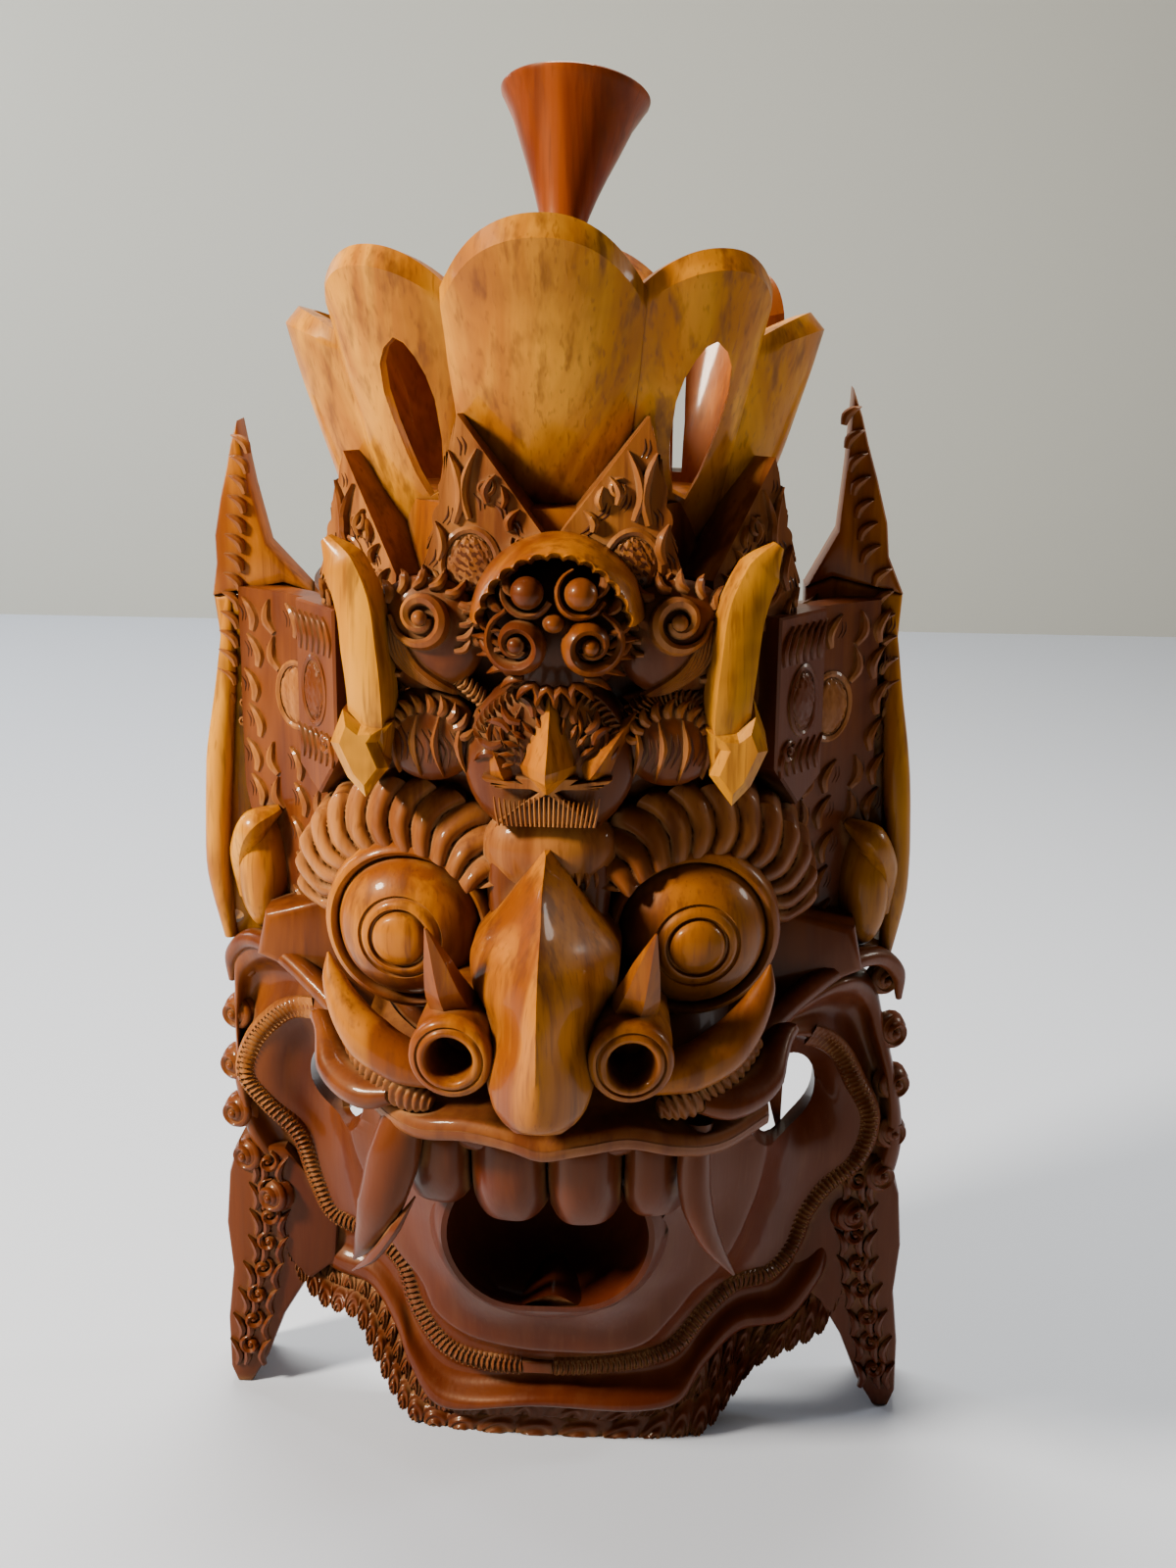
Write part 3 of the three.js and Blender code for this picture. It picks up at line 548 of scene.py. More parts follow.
class Socket:
    """A shader value that can be reckoned with: an expression on it adds the Math nodes."""

    def __init__(self, bench: "Bench", socket: bpy.types.NodeSocket) -> None:
        """Wraps a node's output."""
        self.bench = bench
        self.socket = socket

    def _math(self, operation: str, *values: "Socket | float", clamp_it: bool = False) -> "Socket":
        """One Math node."""
        return self.bench.node(
            "ShaderNodeMath", {"operation": operation, "use_clamp": clamp_it},
            {number: value for number, value in enumerate(values)},
        )

    def __add__(self, other: "Socket | float") -> "Socket":
        """self + other."""
        return self._math("ADD", self, other)

    def __radd__(self, other: float) -> "Socket":
        """other + self."""
        return self._math("ADD", other, self)

    def __sub__(self, other: "Socket | float") -> "Socket":
        """self - other."""
        return self._math("SUBTRACT", self, other)

    def __rsub__(self, other: float) -> "Socket":
        """other - self."""
        return self._math("SUBTRACT", other, self)

    def __mul__(self, other: "Socket | float") -> "Socket":
        """self * other."""
        return self._math("MULTIPLY", self, other)

    def __rmul__(self, other: float) -> "Socket":
        """other * self."""
        return self._math("MULTIPLY", other, self)

    def __truediv__(self, other: "Socket | float") -> "Socket":
        """self / other."""
        return self._math("DIVIDE", self, other)

    def __pow__(self, other: float) -> "Socket":
        """self to the power of other."""
        return self._math("POWER", self, other)

    def clamped(self) -> "Socket":
        """The value kept between 0 and 1."""
        return self._math("ADD", self, 0.0, clamp_it=True)

    def step(self, low: float, high: float) -> "Socket":
        """A smooth step from 0 at low to 1 at high."""
        return self.bench.node(
            "ShaderNodeMapRange", {"interpolation_type": "SMOOTHSTEP"}, {"Value": self, "From Min": low, "From Max": high},
        )


class Bench:
    """The node tree of one material."""

    def __init__(self, name: str) -> None:
        """Starts an empty material."""
        self.material = bpy.data.materials.new(name)
        self.material.use_nodes = True
        self.tree = self.material.node_tree
        self.tree.nodes.clear()

    def node(self, kind: str, settings: dict | None = None, inputs: dict | None = None, output: str | int = 0) -> "Socket | None":
        """Adds a node.

        Args:
            kind: the node's type.
            settings: its properties, set first; a ramp's stops are (place, colour) pairs.
            inputs: values or sockets by input name or number.
            output: which output to return.

        Returns:
            The wanted output, or None where the node has none.
        """
        node = self.tree.nodes.new(kind)
        for name, value in (settings or {}).items():
            if name == "stops":
                self._stops(node.color_ramp, value)
            else:
                setattr(node, name, value)
        for name, value in (inputs or {}).items():
            if isinstance(value, Socket):
                self.tree.links.new(value.socket, node.inputs[name])
            else:
                node.inputs[name].default_value = value
        return Socket(self, node.outputs[output]) if node.outputs else None

    @staticmethod
    def _stops(ramp: bpy.types.ColorRamp, stops: Sequence[tuple[float, Colour]]) -> None:
        """Sets a ramp's stops."""
        while len(ramp.elements) < len(stops):
            ramp.elements.new(1.0)
        for element, (place, colour) in zip(ramp.elements, stops):
            element.position = place
            element.color = (*colour, 1.0)

    def noise(self, coords: Socket, scale: float, detail: float = 3.0, rough: float = 0.5, twist: float = 0.0) -> Socket:
        """A noise value from 0 to 1."""
        return self.node("ShaderNodeTexNoise", {}, {
            "Vector": coords, "Scale": scale, "Detail": detail, "Roughness": rough, "Distortion": twist,
        })

    def blend(self, share: Socket | float, low: Socket | Colour, high: Socket | Colour, way: str = "MIX") -> Socket:
        """Mixes two colours."""
        return self.node("ShaderNodeMix", {"data_type": "RGBA", "blend_type": way}, {
            0: share, 6: low if isinstance(low, Socket) else (*low, 1.0),
            7: high if isinstance(high, Socket) else (*high, 1.0),
        }, 2)


@dataclass(frozen=True)
class WaxedWood:
    """Waxed carved hardwood: upright grain over a warm body colour, with dust in its crevices and painted shade in its
    creases, its wide recesses, round the open mouth and on its lower right side.
    """

    name: str
    grain: Colour = (0.10, 0.025, 0.008)
    body: Colour = (0.36, 0.13, 0.03)
    glow: Colour = (0.55, 0.26, 0.06)
    dust: float = 0.5
    shine: float = 0.3
    # How strongly painted shade darkens the wide recesses.
    recess_shade: float = 0.35

    DUST_COLOUR = (0.42, 0.21, 0.08)
    RED_COLOUR = (0.075, 0.011, 0.002)
    # The colour of the painted shade in creases and recesses.
    SHADE_COLOUR = (0.022, 0.007, 0.004)

    def make(self) -> bpy.types.Material:
        """Builds the material."""
        bench = Bench(self.name)
        coords = bench.node("ShaderNodeTexCoord", output="Object")
        long_way = bench.node("ShaderNodeMapping", {}, {"Vector": coords, "Scale": (1.0, 1.0, 0.11)})
        figure = bench.noise(long_way, 22.0, 4.0, 0.6, 1.4)
        streak = bench.noise(long_way, 150.0, 3.0, 0.6)
        pore_way = bench.node("ShaderNodeMapping", {}, {"Vector": coords, "Scale": (1.0, 1.0, 0.05)})
        pore = bench.noise(pore_way, 620.0, 1.0, 0.5)
        blotch = bench.noise(coords, 9.0, 4.0, 0.6, 0.4)
        fleck = bench.noise(coords, 55.0, 3.0, 0.65)
        place = bench.node("ShaderNodeSeparateXYZ", {}, {"Vector": coords}, "Z")
        lowness = 1.0 - (place + (blotch - 0.5) * 0.14).step(0.05, 0.24)
        across = bench.node("ShaderNodeSeparateXYZ", {}, {"Vector": coords}, "X")
        # Painted shade on the lower right side, away from the key light, over the darker red-brown the wood has there.
        shady = across.step(-0.02, 0.1) * (1.0 - place.step(0.15, 0.52))

        # Painted shade in and round the open mouth: near its centre the colour darkens towards the red-brown.
        rise = (place + -0.125) * 1.0
        outside_mouth_shade = (across * across * 0.8 + rise * rise * 1.6).step(0.004, 0.021)

        tone = figure.step(0.38, 0.64)
        colour = bench.blend(tone, self.body, self.glow)
        colour = bench.blend(lowness * 0.7, colour, self.RED_COLOUR)
        colour = bench.blend(shady * 0.75, colour, self.RED_COLOUR)
        colour = bench.blend((1.0 - outside_mouth_shade) * 0.55, colour, self.RED_COLOUR)
        colour = bench.blend(streak.step(0.48, 0.72) * 0.65, colour, self.grain)
        colour = bench.blend(blotch.step(0.48, 0.74) * 0.6, colour, self.grain)
        colour = bench.blend(pore.step(0.6, 0.74) * 0.35, colour, self.grain)

        open_sky = bench.node(
            "ShaderNodeAmbientOcclusion", {"samples": 8, "only_local": False}, {"Distance": 0.007}, "AO")
        crevice = 1.0 - open_sky.step(0.35, 0.82)
        # Painted shade: the tightest creases and the wide recesses, both found by ambient occlusion.
        crease_shade = 1.0 - open_sky.step(0.08, 0.42)
        deep = 1.0 - bench.node(
            "ShaderNodeAmbientOcclusion", {"samples": 8, "only_local": False}, {"Distance": 0.045}, "AO").step(0.08, 0.75)
        dusty = (crevice * fleck.step(0.32, 0.62) * (1.0 - crease_shade) * self.dust).clamped()
        colour = bench.blend(dusty, colour, self.DUST_COLOUR)
        # Painted shade: the wide recesses and the tightest creases darken towards the shade colour.
        colour = bench.blend(deep * self.recess_shade, colour, self.SHADE_COLOUR)
        colour = bench.blend((crease_shade * 0.75).clamped(), colour, self.SHADE_COLOUR)

        rough = self.shine + (1.0 - self.shine) * dusty * 0.7 + fleck * 0.16 + streak * 0.08
        coat = (1.0 - dusty * 0.9).clamped() * 0.2
        height = streak * 0.5 + pore * 0.5 + fleck * 0.4
        bumped = bench.node("ShaderNodeBump", {}, {"Strength": 0.22, "Distance": 0.0006, "Height": height})
        shader = bench.node("ShaderNodeBsdfPrincipled", {}, {
            "Base Color": colour, "Roughness": rough.clamped(), "Normal": bumped, "Coat Weight": coat,
            "Coat Roughness": 0.08, "Specular IOR Level": 0.2,
            "Specular Tint": (1.0, 0.72, 0.48, 1.0), "Coat IOR": 1.45,
        })
        bench.node("ShaderNodeOutputMaterial", {}, {"Surface": shader})
        return bench.material


class Finish(Enum):
    """The woods of the mask, and two very dark finishes that paint shade: in its deep hollows and in its gouge cuts."""

    HONEY = WaxedWood("honey_wood", body=(0.22, 0.05, 0.001), glow=(0.50, 0.165, 0.004), dust=0.45, shine=0.3, recess_shade=0.6)
    GOLD = WaxedWood("golden_wood", body=(0.4, 0.125, 0.001), glow=(0.7, 0.29, 0.006), dust=0.3, shine=0.26, recess_shade=0.5)
    BROWN = WaxedWood("brown_wood", body=(0.085, 0.015, 0.0015), glow=(0.20, 0.05, 0.004), dust=0.7, shine=0.3, recess_shade=0.7)
    DUSTY = WaxedWood("dusty_wood", body=(0.2, 0.055, 0.009), glow=(0.42, 0.155, 0.03), dust=1.0, shine=0.4, recess_shade=0.6)
    RED = WaxedWood("red_wood", body=(0.13, 0.02, 0.002), glow=(0.25, 0.052, 0.006), dust=0.2, shine=0.22, recess_shade=0.4)
    # Very dark wood that paints the shade in the deep hollows: the open mouth's bowl and the ground under the
    # medallion's hood.
    SHADED_HOLLOW = WaxedWood("shaded_hollow_wood", body=(0.05, 0.011, 0.003), glow=(0.09, 0.022, 0.005), dust=0.3, shine=0.35, recess_shade=0.8)
    # Very dark wood that paints the shadow inside the gouge cuts, whose strokes stand a little proud.
    GOUGE_SHADOW = WaxedWood("gouge_shadow_wood", body=(0.045, 0.012, 0.004), glow=(0.075, 0.02, 0.007), dust=0.1, shine=0.6, recess_shade=0.9)


class Workshop:
    """Makes each finish once, and sets finished pieces on the frame."""

    def __init__(self, ground: Ground) -> None:
        """Keeps where the ground point is."""
        self.ground = ground
        self.woods: dict[Finish, bpy.types.Material] = {}

    def wood(self, finish: Finish) -> bpy.types.Material:
        """The material of a finish."""
        if finish not in self.woods:
            self.woods[finish] = finish.value.make()
        return self.woods[finish]

    def set_down(self, carving: Carving, finish: Finish, node: str = "mask", crease: float = 38.0, waver: float = 0.35) -> None:
        """Finishes a piece, sets it on the frame and hides the solid it stands for."""
        piece = carving.done(self.ground, self.wood(finish), crease, waver)
        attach(piece, "root")
        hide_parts(node)


def sided(side: int, points: Sequence[Sequence[float]]) -> list[tuple[float, ...]]:
    """The points with x on the given side."""
    return [(side * point[0], *point[1:]) for point in points]


# ---------------------------------------------------------------- head

@dataclass
class Head:
    """The hollow head under the carving."""

    back: float = 58
    foot: float = 172
    top: float = 388
    wall: float = 20
    hollow_top: float = 326
    sections: tuple = (
        (172, 74, -62), (198, 86, -78), (228, 93, -74), (262, 98, -56), (296, 103, -62),
        (322, 107, -74), (352, 111, -79), (388, 112, -76),
    )

    def skin(self, outside_mouth_shade: float, height: float, inset: float = 0.0) -> Vector:
        """A point of the skin: `outside_mouth_shade` runs 0 to 1 from the left back edge over the face to the right one."""
        half, front = by_key(self.sections, height)
        swing = math.pi * outside_mouth_shade
        cosine, sine = math.cos(swing), math.sin(swing)
        return at(
            -(half - inset) * math.copysign(abs(cosine) ** 0.8, cosine),
            self.back - (self.back - front - inset) * abs(sine) ** 0.8, height,
        )

    def build(self, shop: Workshop) -> None:
        """The shell, open behind, under a solid block that carries the crown."""
        carving = Carving("head")
        lower = [mix(self.foot, self.hollow_top, step / 30) for step in range(31)]
        rows = [*lower, self.hollow_top + 1, 340, 355, 370, self.top]

        def place(u: float, v: float, w: float) -> Vector:
            height = rows[round(v * (len(rows) - 1))]
            if w < 0.5 or height <= self.hollow_top:
                return self.skin(u, height, w * self.wall)
            return at(self.skin(u, height).x, self.back, height - (14 if height == self.top else 0))

        carving.slab(64, len(rows) - 1, place)
        carving.ball(at(0, -48, 176), (70, 50, 14), 40, 20)
        for side in SIDES:
            outline = sided(side, [(62, 194), (62, 236), (88, 262), (126, 252), (130, 232), (112, 224), (96, 200)])
            carving.board(outline, -34, 50, bevel=4, rounds=3)
        shop.set_down(carving, Finish.BROWN)


# ---------------------------------------------------------------- crown

@dataclass(frozen=True)
class Petal:
    """One petal of the crown: where it sits, how high it is and how far its corners drop."""

    middle: float
    half: float
    top: float
    drop: float
    proud: float = 0.0


@dataclass
class Crown:
    """The ring of eight petals round a flat floor."""

    x: float = -4
    y: float = -12
    foot: float = 396
    floor: float = 432
    thick: float = 13
    petals: tuple = (
        Petal(0, 21, 541, 27, 2.0), Petal(37, 17.5, 529, 15), Petal(84, 30, 504, 9), Petal(135, 21, 520, 18),
        Petal(180, 24, 530, 18),
    )
    slot: tuple = ((61, 495), (65, 491), (67, 485), (66, 474), (63, 463), (59, 452), (55, 442), (50, 433), (45, 436),
                   (44, 446), (44, 456), (46, 472), (49, 481), (53, 488), (57, 493))

    slit: tuple = ((44, 436), (48, 436), (49, 455), (49, 478), (46, 474), (44, 456))

    def skin(self, swing: float, height: float, inset: float = 0.0) -> Vector:
        """A point of the crown at `swing` radians from the front, `inset` inside its flaring skin."""
        rise = max(height - self.foot, 0) / 140
        half = 78 + 38 * rise ** 1.15 - inset
        depth = (32 + 44 * rise if math.cos(swing) > 0 else 42 + 34 * rise) - inset
        return at(self.x + half * math.sin(swing), self.y - depth * math.cos(swing), height)

    def petal(self, carving: Carving, petal: Petal) -> None:
        """A petal with a swelling face and a facet cut along its arch."""
        facet = 0.92

        def place(u: float, v: float, w: float) -> Vector:
            across = 2 * u - 1
            swing = math.radians(petal.middle + across * petal.half)
            crest = petal.top - petal.drop * abs(across) ** 2.2
            if w > 0.5:
                height = mix(self.foot - 12, crest - 1.5, v)
                inset = mix(self.thick + 3, self.thick, ease(v, 0, 0.6))
                return self.skin(swing, height, inset - 4 * (1 - across ** 2) * v)
            cut = clamp((v - facet) / (1 - facet))
            share = mix(-0.1, 0.94, v / facet) if v <= facet else mix(0.94, 1, cut)
            swell = (6 + petal.proud) * (1 - across ** 2) * ease(share, -0.1, 0.75)
            height = mix(self.foot, crest, share)
            bite = cut * 7.5 * (1 - 0.75 * across ** 2)
            return self.skin(swing, height, bite - swell - petal.proud + 2)

        carving.slab(28, 50, place)

    def build(self, shop: Workshop) -> None:
        """All the petals and the floor between them."""
        front = Carving("crown_front_petals")
        side_petals = Carving("crown_side_petals")
        rear = Carving("crown_rear_petals")
        slots = [sided(side, self.slot) for side in SIDES]
        slits = [sided(side, self.slit) for side in SIDES]
        for number, petal in enumerate(self.petals):
            both = (petal,) if petal.middle in (0, 180) else (
                petal, Petal(-petal.middle, petal.half, petal.top, petal.drop, petal.proud))
            carving = front if number < 1 else side_petals if number < 3 else rear
            for each in both:
                one = Carving("petal")
                self.petal(one, each)
                if number:
                    one.cut(slots if number < 3 else slits, -100, 170)
                carving.take(one.wood)
        floor = Carving("crown_floor")
        floor.turned([(0, 0), (64, 0), (66, -30), (0, -30)], 48, at(self.x, self.y + 2, self.floor), at(0, 0, 1))
        shop.set_down(front, Finish.GOLD, crease=30)
        shop.set_down(side_petals, Finish.GOLD, crease=30)
        # The rear petals and the floor take the darker honey wood: painted shade inside the crown, seen through the
        # slots.
        shop.set_down(rear, Finish.HONEY, crease=30)
        shop.set_down(floor, Finish.HONEY)


@dataclass(frozen=True)
class Leaf:
    """A thick pointed board with a sawn edge under the petals."""

    foot: Flat
    tip: Flat
    heel: Flat
    front: float
    thick: float
    turn: float
    lean: float
    oval: Flat
    oval_half: Flat


@dataclass
class Leaves:
    """The tier of leaves that carries the petals."""

    low: float = 382
    kinds: tuple = (
        Leaf((1, 421), (37, 468), (50, 402), -80, 22, 0.12, -0.08, (31, 411), (11, 14)),
        Leaf((58, 404), (88, 450), (100, 396), -52, 22, 0.62, -0.05, (84, 404), (8, 12)),
    )

    def build(self, shop: Workshop) -> None:
        """Both tiers, on both sides."""
        gouge_shadows = Carving("leaf_gouge_shadows")
        for number, leaf in enumerate(self.kinds):
            carving = Carving(("inner_leaves", "outer_leaves")[number])
            for side in SIDES:
                outline = [leaf.foot, leaf.tip]
                outline += [(x, z) for x, z in self.edge(leaf)]
                outline += [leaf.heel, (leaf.heel[0], self.low), (leaf.foot[0], self.low)]
                pivot = at(side * (leaf.foot[0] + leaf.heel[0]) / 2, leaf.front, leaf.foot[1])
                carving.board(
                    sided(side, outline), leaf.front, leaf.thick, side * leaf.turn, pivot, leaf.lean, bevel=0.8)
                self.ornament(carving, gouge_shadows, leaf, side, board_face(leaf.front, side * leaf.turn, pivot, leaf.lean))
            shop.set_down(carving, Finish.DUSTY, crease=30)
        shop.set_down(gouge_shadows, Finish.GOUGE_SHADOW)

    def edge(self, leaf: Leaf) -> list[Flat]:
        """The lobed outer edge, from the tip down to the heel."""
        run = Vector((leaf.heel[0] - leaf.tip[0], leaf.heel[1] - leaf.tip[1])).normalized()
        points = []
        for step in range(36):
            share = (step + 1) / 37
            lobe = 2.6 * (abs(math.sin(math.pi * 6 * share)) ** 0.7 - 0.4) * ease(share, 0.0, 0.25)
            points.append((mix(leaf.tip[0], leaf.heel[0], share) - lobe * run.y,
                           mix(leaf.tip[1], leaf.heel[1], share) + lobe * run.x))
        return points

    def ornament(self, carving: Carving, gouge_shadows: Carving, leaf: Leaf, side: int, ground: Face) -> None:
        """Flames, scrolls and a cross-hatched oval on a leaf's face."""
        span = leaf.heel[0] - leaf.foot[0]
        if leaf.oval_half[0] > 10:
            carving.hatch(ground, (side * leaf.oval[0], leaf.oval[1]), leaf.oval_half)
            gouge_shadows.hatch(ground, (side * leaf.oval[0], leaf.oval[1] + 0.6), (leaf.oval_half[0] * 0.9, leaf.oval_half[1] * 0.9), 0.5)
        else:
            carving.hatch(ground, (side * leaf.oval[0], leaf.oval[1]), leaf.oval_half, 1.2)

        def point(along: float, up: float) -> Flat:
            crest = mix(leaf.foot[1], leaf.tip[1], clamp(along / 0.72)) if along < 0.72 else mix(
                leaf.tip[1], leaf.heel[1], (along - 0.72) / 0.28)
            return side * (leaf.foot[0] + along * span), mix(leaf.foot[1] - 20, crest, up)

        wide = 1.0 if leaf.oval_half[0] > 10 else 0.8
        for root, tip, bend, width in (
            ((0.74, 0.42), (0.76, 0.93), 0.5, 2.8), ((0.62, 0.46), (0.6, 0.92), -0.5, 2.3), ((0.86, 0.34), (0.87, 0.84), 0.6, 2.4),
            ((0.48, 0.66), (0.44, 0.92), -0.7, 2.2), ((0.3, 0.6), (0.24, 0.9), -0.8, 2.2), ((0.16, 0.5), (0.1, 0.86), -0.7, 2.0),
            ((0.95, 0.3), (0.97, 0.8), 0.6, 1.8), ((0.36, 0.74), (0.36, 0.94), 0.6, 1.7),
        ):
            carving.flame(ground, point(*root), point(*tip), side * bend, width * wide, 3.4)
        carving.scroll(ground, point(0.5, 0.76), 4.2, 1.2, 0.2, side, 1.3, 2.4)
        carving.scroll(ground, point(0.22, 0.56), 3.6, 1.2, 0.4, -side, 1.2, 2.2)
        for step in range(9):
            low = mix(0.1, 0.98, step / 8)
            if abs(low - 0.6) > 0.2:
                carving.flame(ground, point(low, 0.04), point(low + 0.03, 0.34), side * 0.6, 1.7, 2.2)
        spots = [(*point(along, up), side * lean) for along, up, lean in (
            (0.68, 0.66, 0.1), (0.8, 0.6, -0.3), (0.55, 0.62, 0.4), (0.38, 0.7, 0.6), (0.9, 0.5, -0.4), (0.26, 0.68, 0.7),
            (0.7, 0.84, 0.2), (0.14, 0.4, 0.3), (0.92, 0.2, -0.2), (0.2, 0.2, 0.2))]
        gouge_shadows.gouges(ground, spots, 7 * wide)


@dataclass
class Band:
    """The carved band: a hooded medallion, its side fields, a fan with spikes and a fringe."""

    hood: Point = (3, -84, 391)

    def hood_face(self) -> Face:
        """The bulging face of the medallion."""
        x0, y0, z0 = self.hood

        def surface(x: float, z: float) -> Vector:
            away = clamp(math.hypot((x - x0) / 31, (z - z0) / 31))
            return at(x, y0 - 9 - 17 * math.sqrt(max(1 - away ** 2, 0)), z)

        return Face(surface)

    def medallion(self, shop: Workshop) -> None:
        """A plain hood over two balls, two spirals and a nub."""
        x0, y0, z0 = self.hood
        hood = Carving("medallion_hood")

        def shell(u: float, v: float, w: float) -> Vector:
            swing = math.radians(mix(-84, 84, u))
            radius = mix(34, 28.5, v ** 1.5) - 2.5 * w
            front = y0 + 16 - mix(14, 40, math.sin(v * math.pi / 2)) + 5 * w
            notch = 1.6 * abs(math.sin(math.pi * 13 * u)) * ease(v, 0.85, 1)
            return at(x0 + (radius + notch) * math.sin(swing), front, z0 + (radius + notch) * math.cos(swing))

        hood.slab(156, 16, shell)
        shop.set_down(hood, Finish.HONEY, crease=50)
        base = Carving("medallion_ground")
        base.turned([(0, 15), (14, 13), (24, 9), (29, 2), (31, -18), (0, -18)], 48, at(*self.hood), at(0, -1, 0.12))
        # The ground under the hood is very dark: painted shade.
        shop.set_down(base, Finish.SHADED_HOLLOW)
        carving = Carving("medallion")
        ground = self.hood_face()
        for side in SIDES:
            carving.ball(at(x0 + side * 10, -109, 406), (6.2, 6.4, 6.2), 24, 16)
            ring = [(x0 + side * 10 + 9 * math.cos(math.tau * step / 16), 406 + 8.8 * math.sin(math.tau * step / 16))
                    for step in range(5, 16)]
            carving.stroke(ground, ring, (0.6, 1.5, 1.2), 3.0, 8, 20)
            carving.scroll(ground, (x0 + side * 13.5, 387), 13, 1.6, 0.25 - side * 0.05, -side, 3.1, 6.0)
            for step in range(8):
                swing = math.radians(mix(195, 292, step / 7) if side < 0 else mix(345, 248, step / 7))
                root = (x0 + 21 * math.cos(swing), z0 + 21 * math.sin(swing))
                tip = (x0 + 31 * math.cos(swing + 0.16 * side), z0 + 31 * math.sin(swing + 0.16 * side))
                carving.flame(ground, root, tip, 0.6 * side, 1.7, 2.6)
            for step in range(4):
                swing = math.radians(90 - side * mix(40, 100, step / 3))
                root = (x0 + 28 * math.cos(swing), z0 + 28 * math.sin(swing))
                tip = (x0 + 20 * math.cos(swing - 0.2 * side), z0 + 20 * math.sin(swing - 0.2 * side))
                carving.flame(ground, root, tip, 0.7 * side, 2.4, 2.8)
        carving.ball(at(x0, -109, 395), (4.4, 5, 3.6), 16, 12)
        shop.set_down(carving, Finish.BROWN, crease=50)

    @staticmethod
    def dome(centre: Point, half: Flat, rise: float, turn: float) -> Face:
        """A low oval dome that looks a little sideways."""
        x0, y0, z0 = centre

        def surface(x: float, z: float) -> Vector:
            away = min((x - x0) ** 2 / half[0] ** 2 + (z - z0) ** 2 / half[1] ** 2, 1.0)
            return at(x, y0 - rise * math.sqrt(1 - away) + turn * (x - x0), z)

        return Face(surface)

    def side_fields(self, shop: Workshop) -> None:
        """A big scroll with a grooved tail on each side, and bristles under it."""
        carving = Carving("side_fields")
        ground_wood = Carving("side_grounds")
        gouge_shadows = Carving("side_gouge_shadows")
        for side in SIDES:
            lean = side * 0.25
            upper = self.dome((side * 48, -79, 384), (25, 24), 11, lean)
            lower = self.dome((side * 47, -81, 345), (21, 20), 9, lean)
            ground_wood.ball(at(side * 48, -79, 384), (24, 10, 23), 40, 24, lean)
            ground_wood.ball(at(side * 47, -81, 345), (20, 8.4, 19), 40, 24, lean)
            carving.scroll(upper, (side * 49, 392), 12.5, 1.5, 0.5 if side < 0 else 0.0, -side, 3.0, 4.6)
            for step in range(6):
                shift = step * 2.7
                path = [(side * (63 - shift * 0.5), 392 - shift * 0.7), (side * (60 - shift * 0.6), 377 - shift * 0.2),
                        (side * (46 - shift * 0.5), 366 - shift * 0.1), (side * (28 + shift * 0.2), 362 - shift * 0.2)]
                carving.stroke(upper, path, (0.5, 1.5, 1.3, 0.3), 2.6, 6, 16)
            for step in range(13):
                swing = math.radians(mix(-60, 175, step / 12))
                spot = (side * (48 + 19 * math.cos(swing)), 385 + 18.5 * math.sin(swing))
                tip = (side * (48 + 26 * math.cos(swing + 0.2)), 385 + 25.5 * math.sin(swing + 0.2))
                carving.flame(upper, spot, tip, side * 0.9, 2.1, 2.8)
            for step in range(4):
                carving.flame(upper, (side * (36 - step), 380 + 5 * step), (side * (29 - step), 386 + 5 * step), side, 1.6, 2.4)
            arc = [(side * 27, 357), (side * 40, 366), (side * 56, 363), (side * 66, 352)]
            carving.tufts(lower, arc if side > 0 else arc[::-1], 22, -7.0 * side, -0.2, 1.1, 2.0)
            carving.tufts(lower, arc if side > 0 else arc[::-1], 20, -3.5 * side, 0.3, 1.0, 2.4)
            for step in range(4):
                x = mix(33, 60, step / 3)
                carving.stroke(lower, [(side * x, 354), (side * (x + 2), 343), (side * (x - 1), 329)], (0.4, 1.8, 0.3), 2.0, 6, 8)
            gouge_shadows.gouges(lower, [(side * mix(36, 58, step / 4), 342 - 2 * (step % 2), side * 0.15) for step in range(5)], 14, 0.8)
            for step in range(9):
                swing = math.radians(mix(170, 20, step / 8))
                root = (side * (47 + 12 * math.cos(swing)), 345 + 10 * math.sin(swing))
                tip = (side * (47 + 19 * math.cos(swing - 0.1)), 345 + 17 * math.sin(swing - 0.1))
                carving.flame(lower, root, tip, side * 0.8, 2.2, 2.6)
        shop.set_down(ground_wood, Finish.BROWN)
        shop.set_down(carving, Finish.DUSTY)
        shop.set_down(gouge_shadows, Finish.GOUGE_SHADOW)

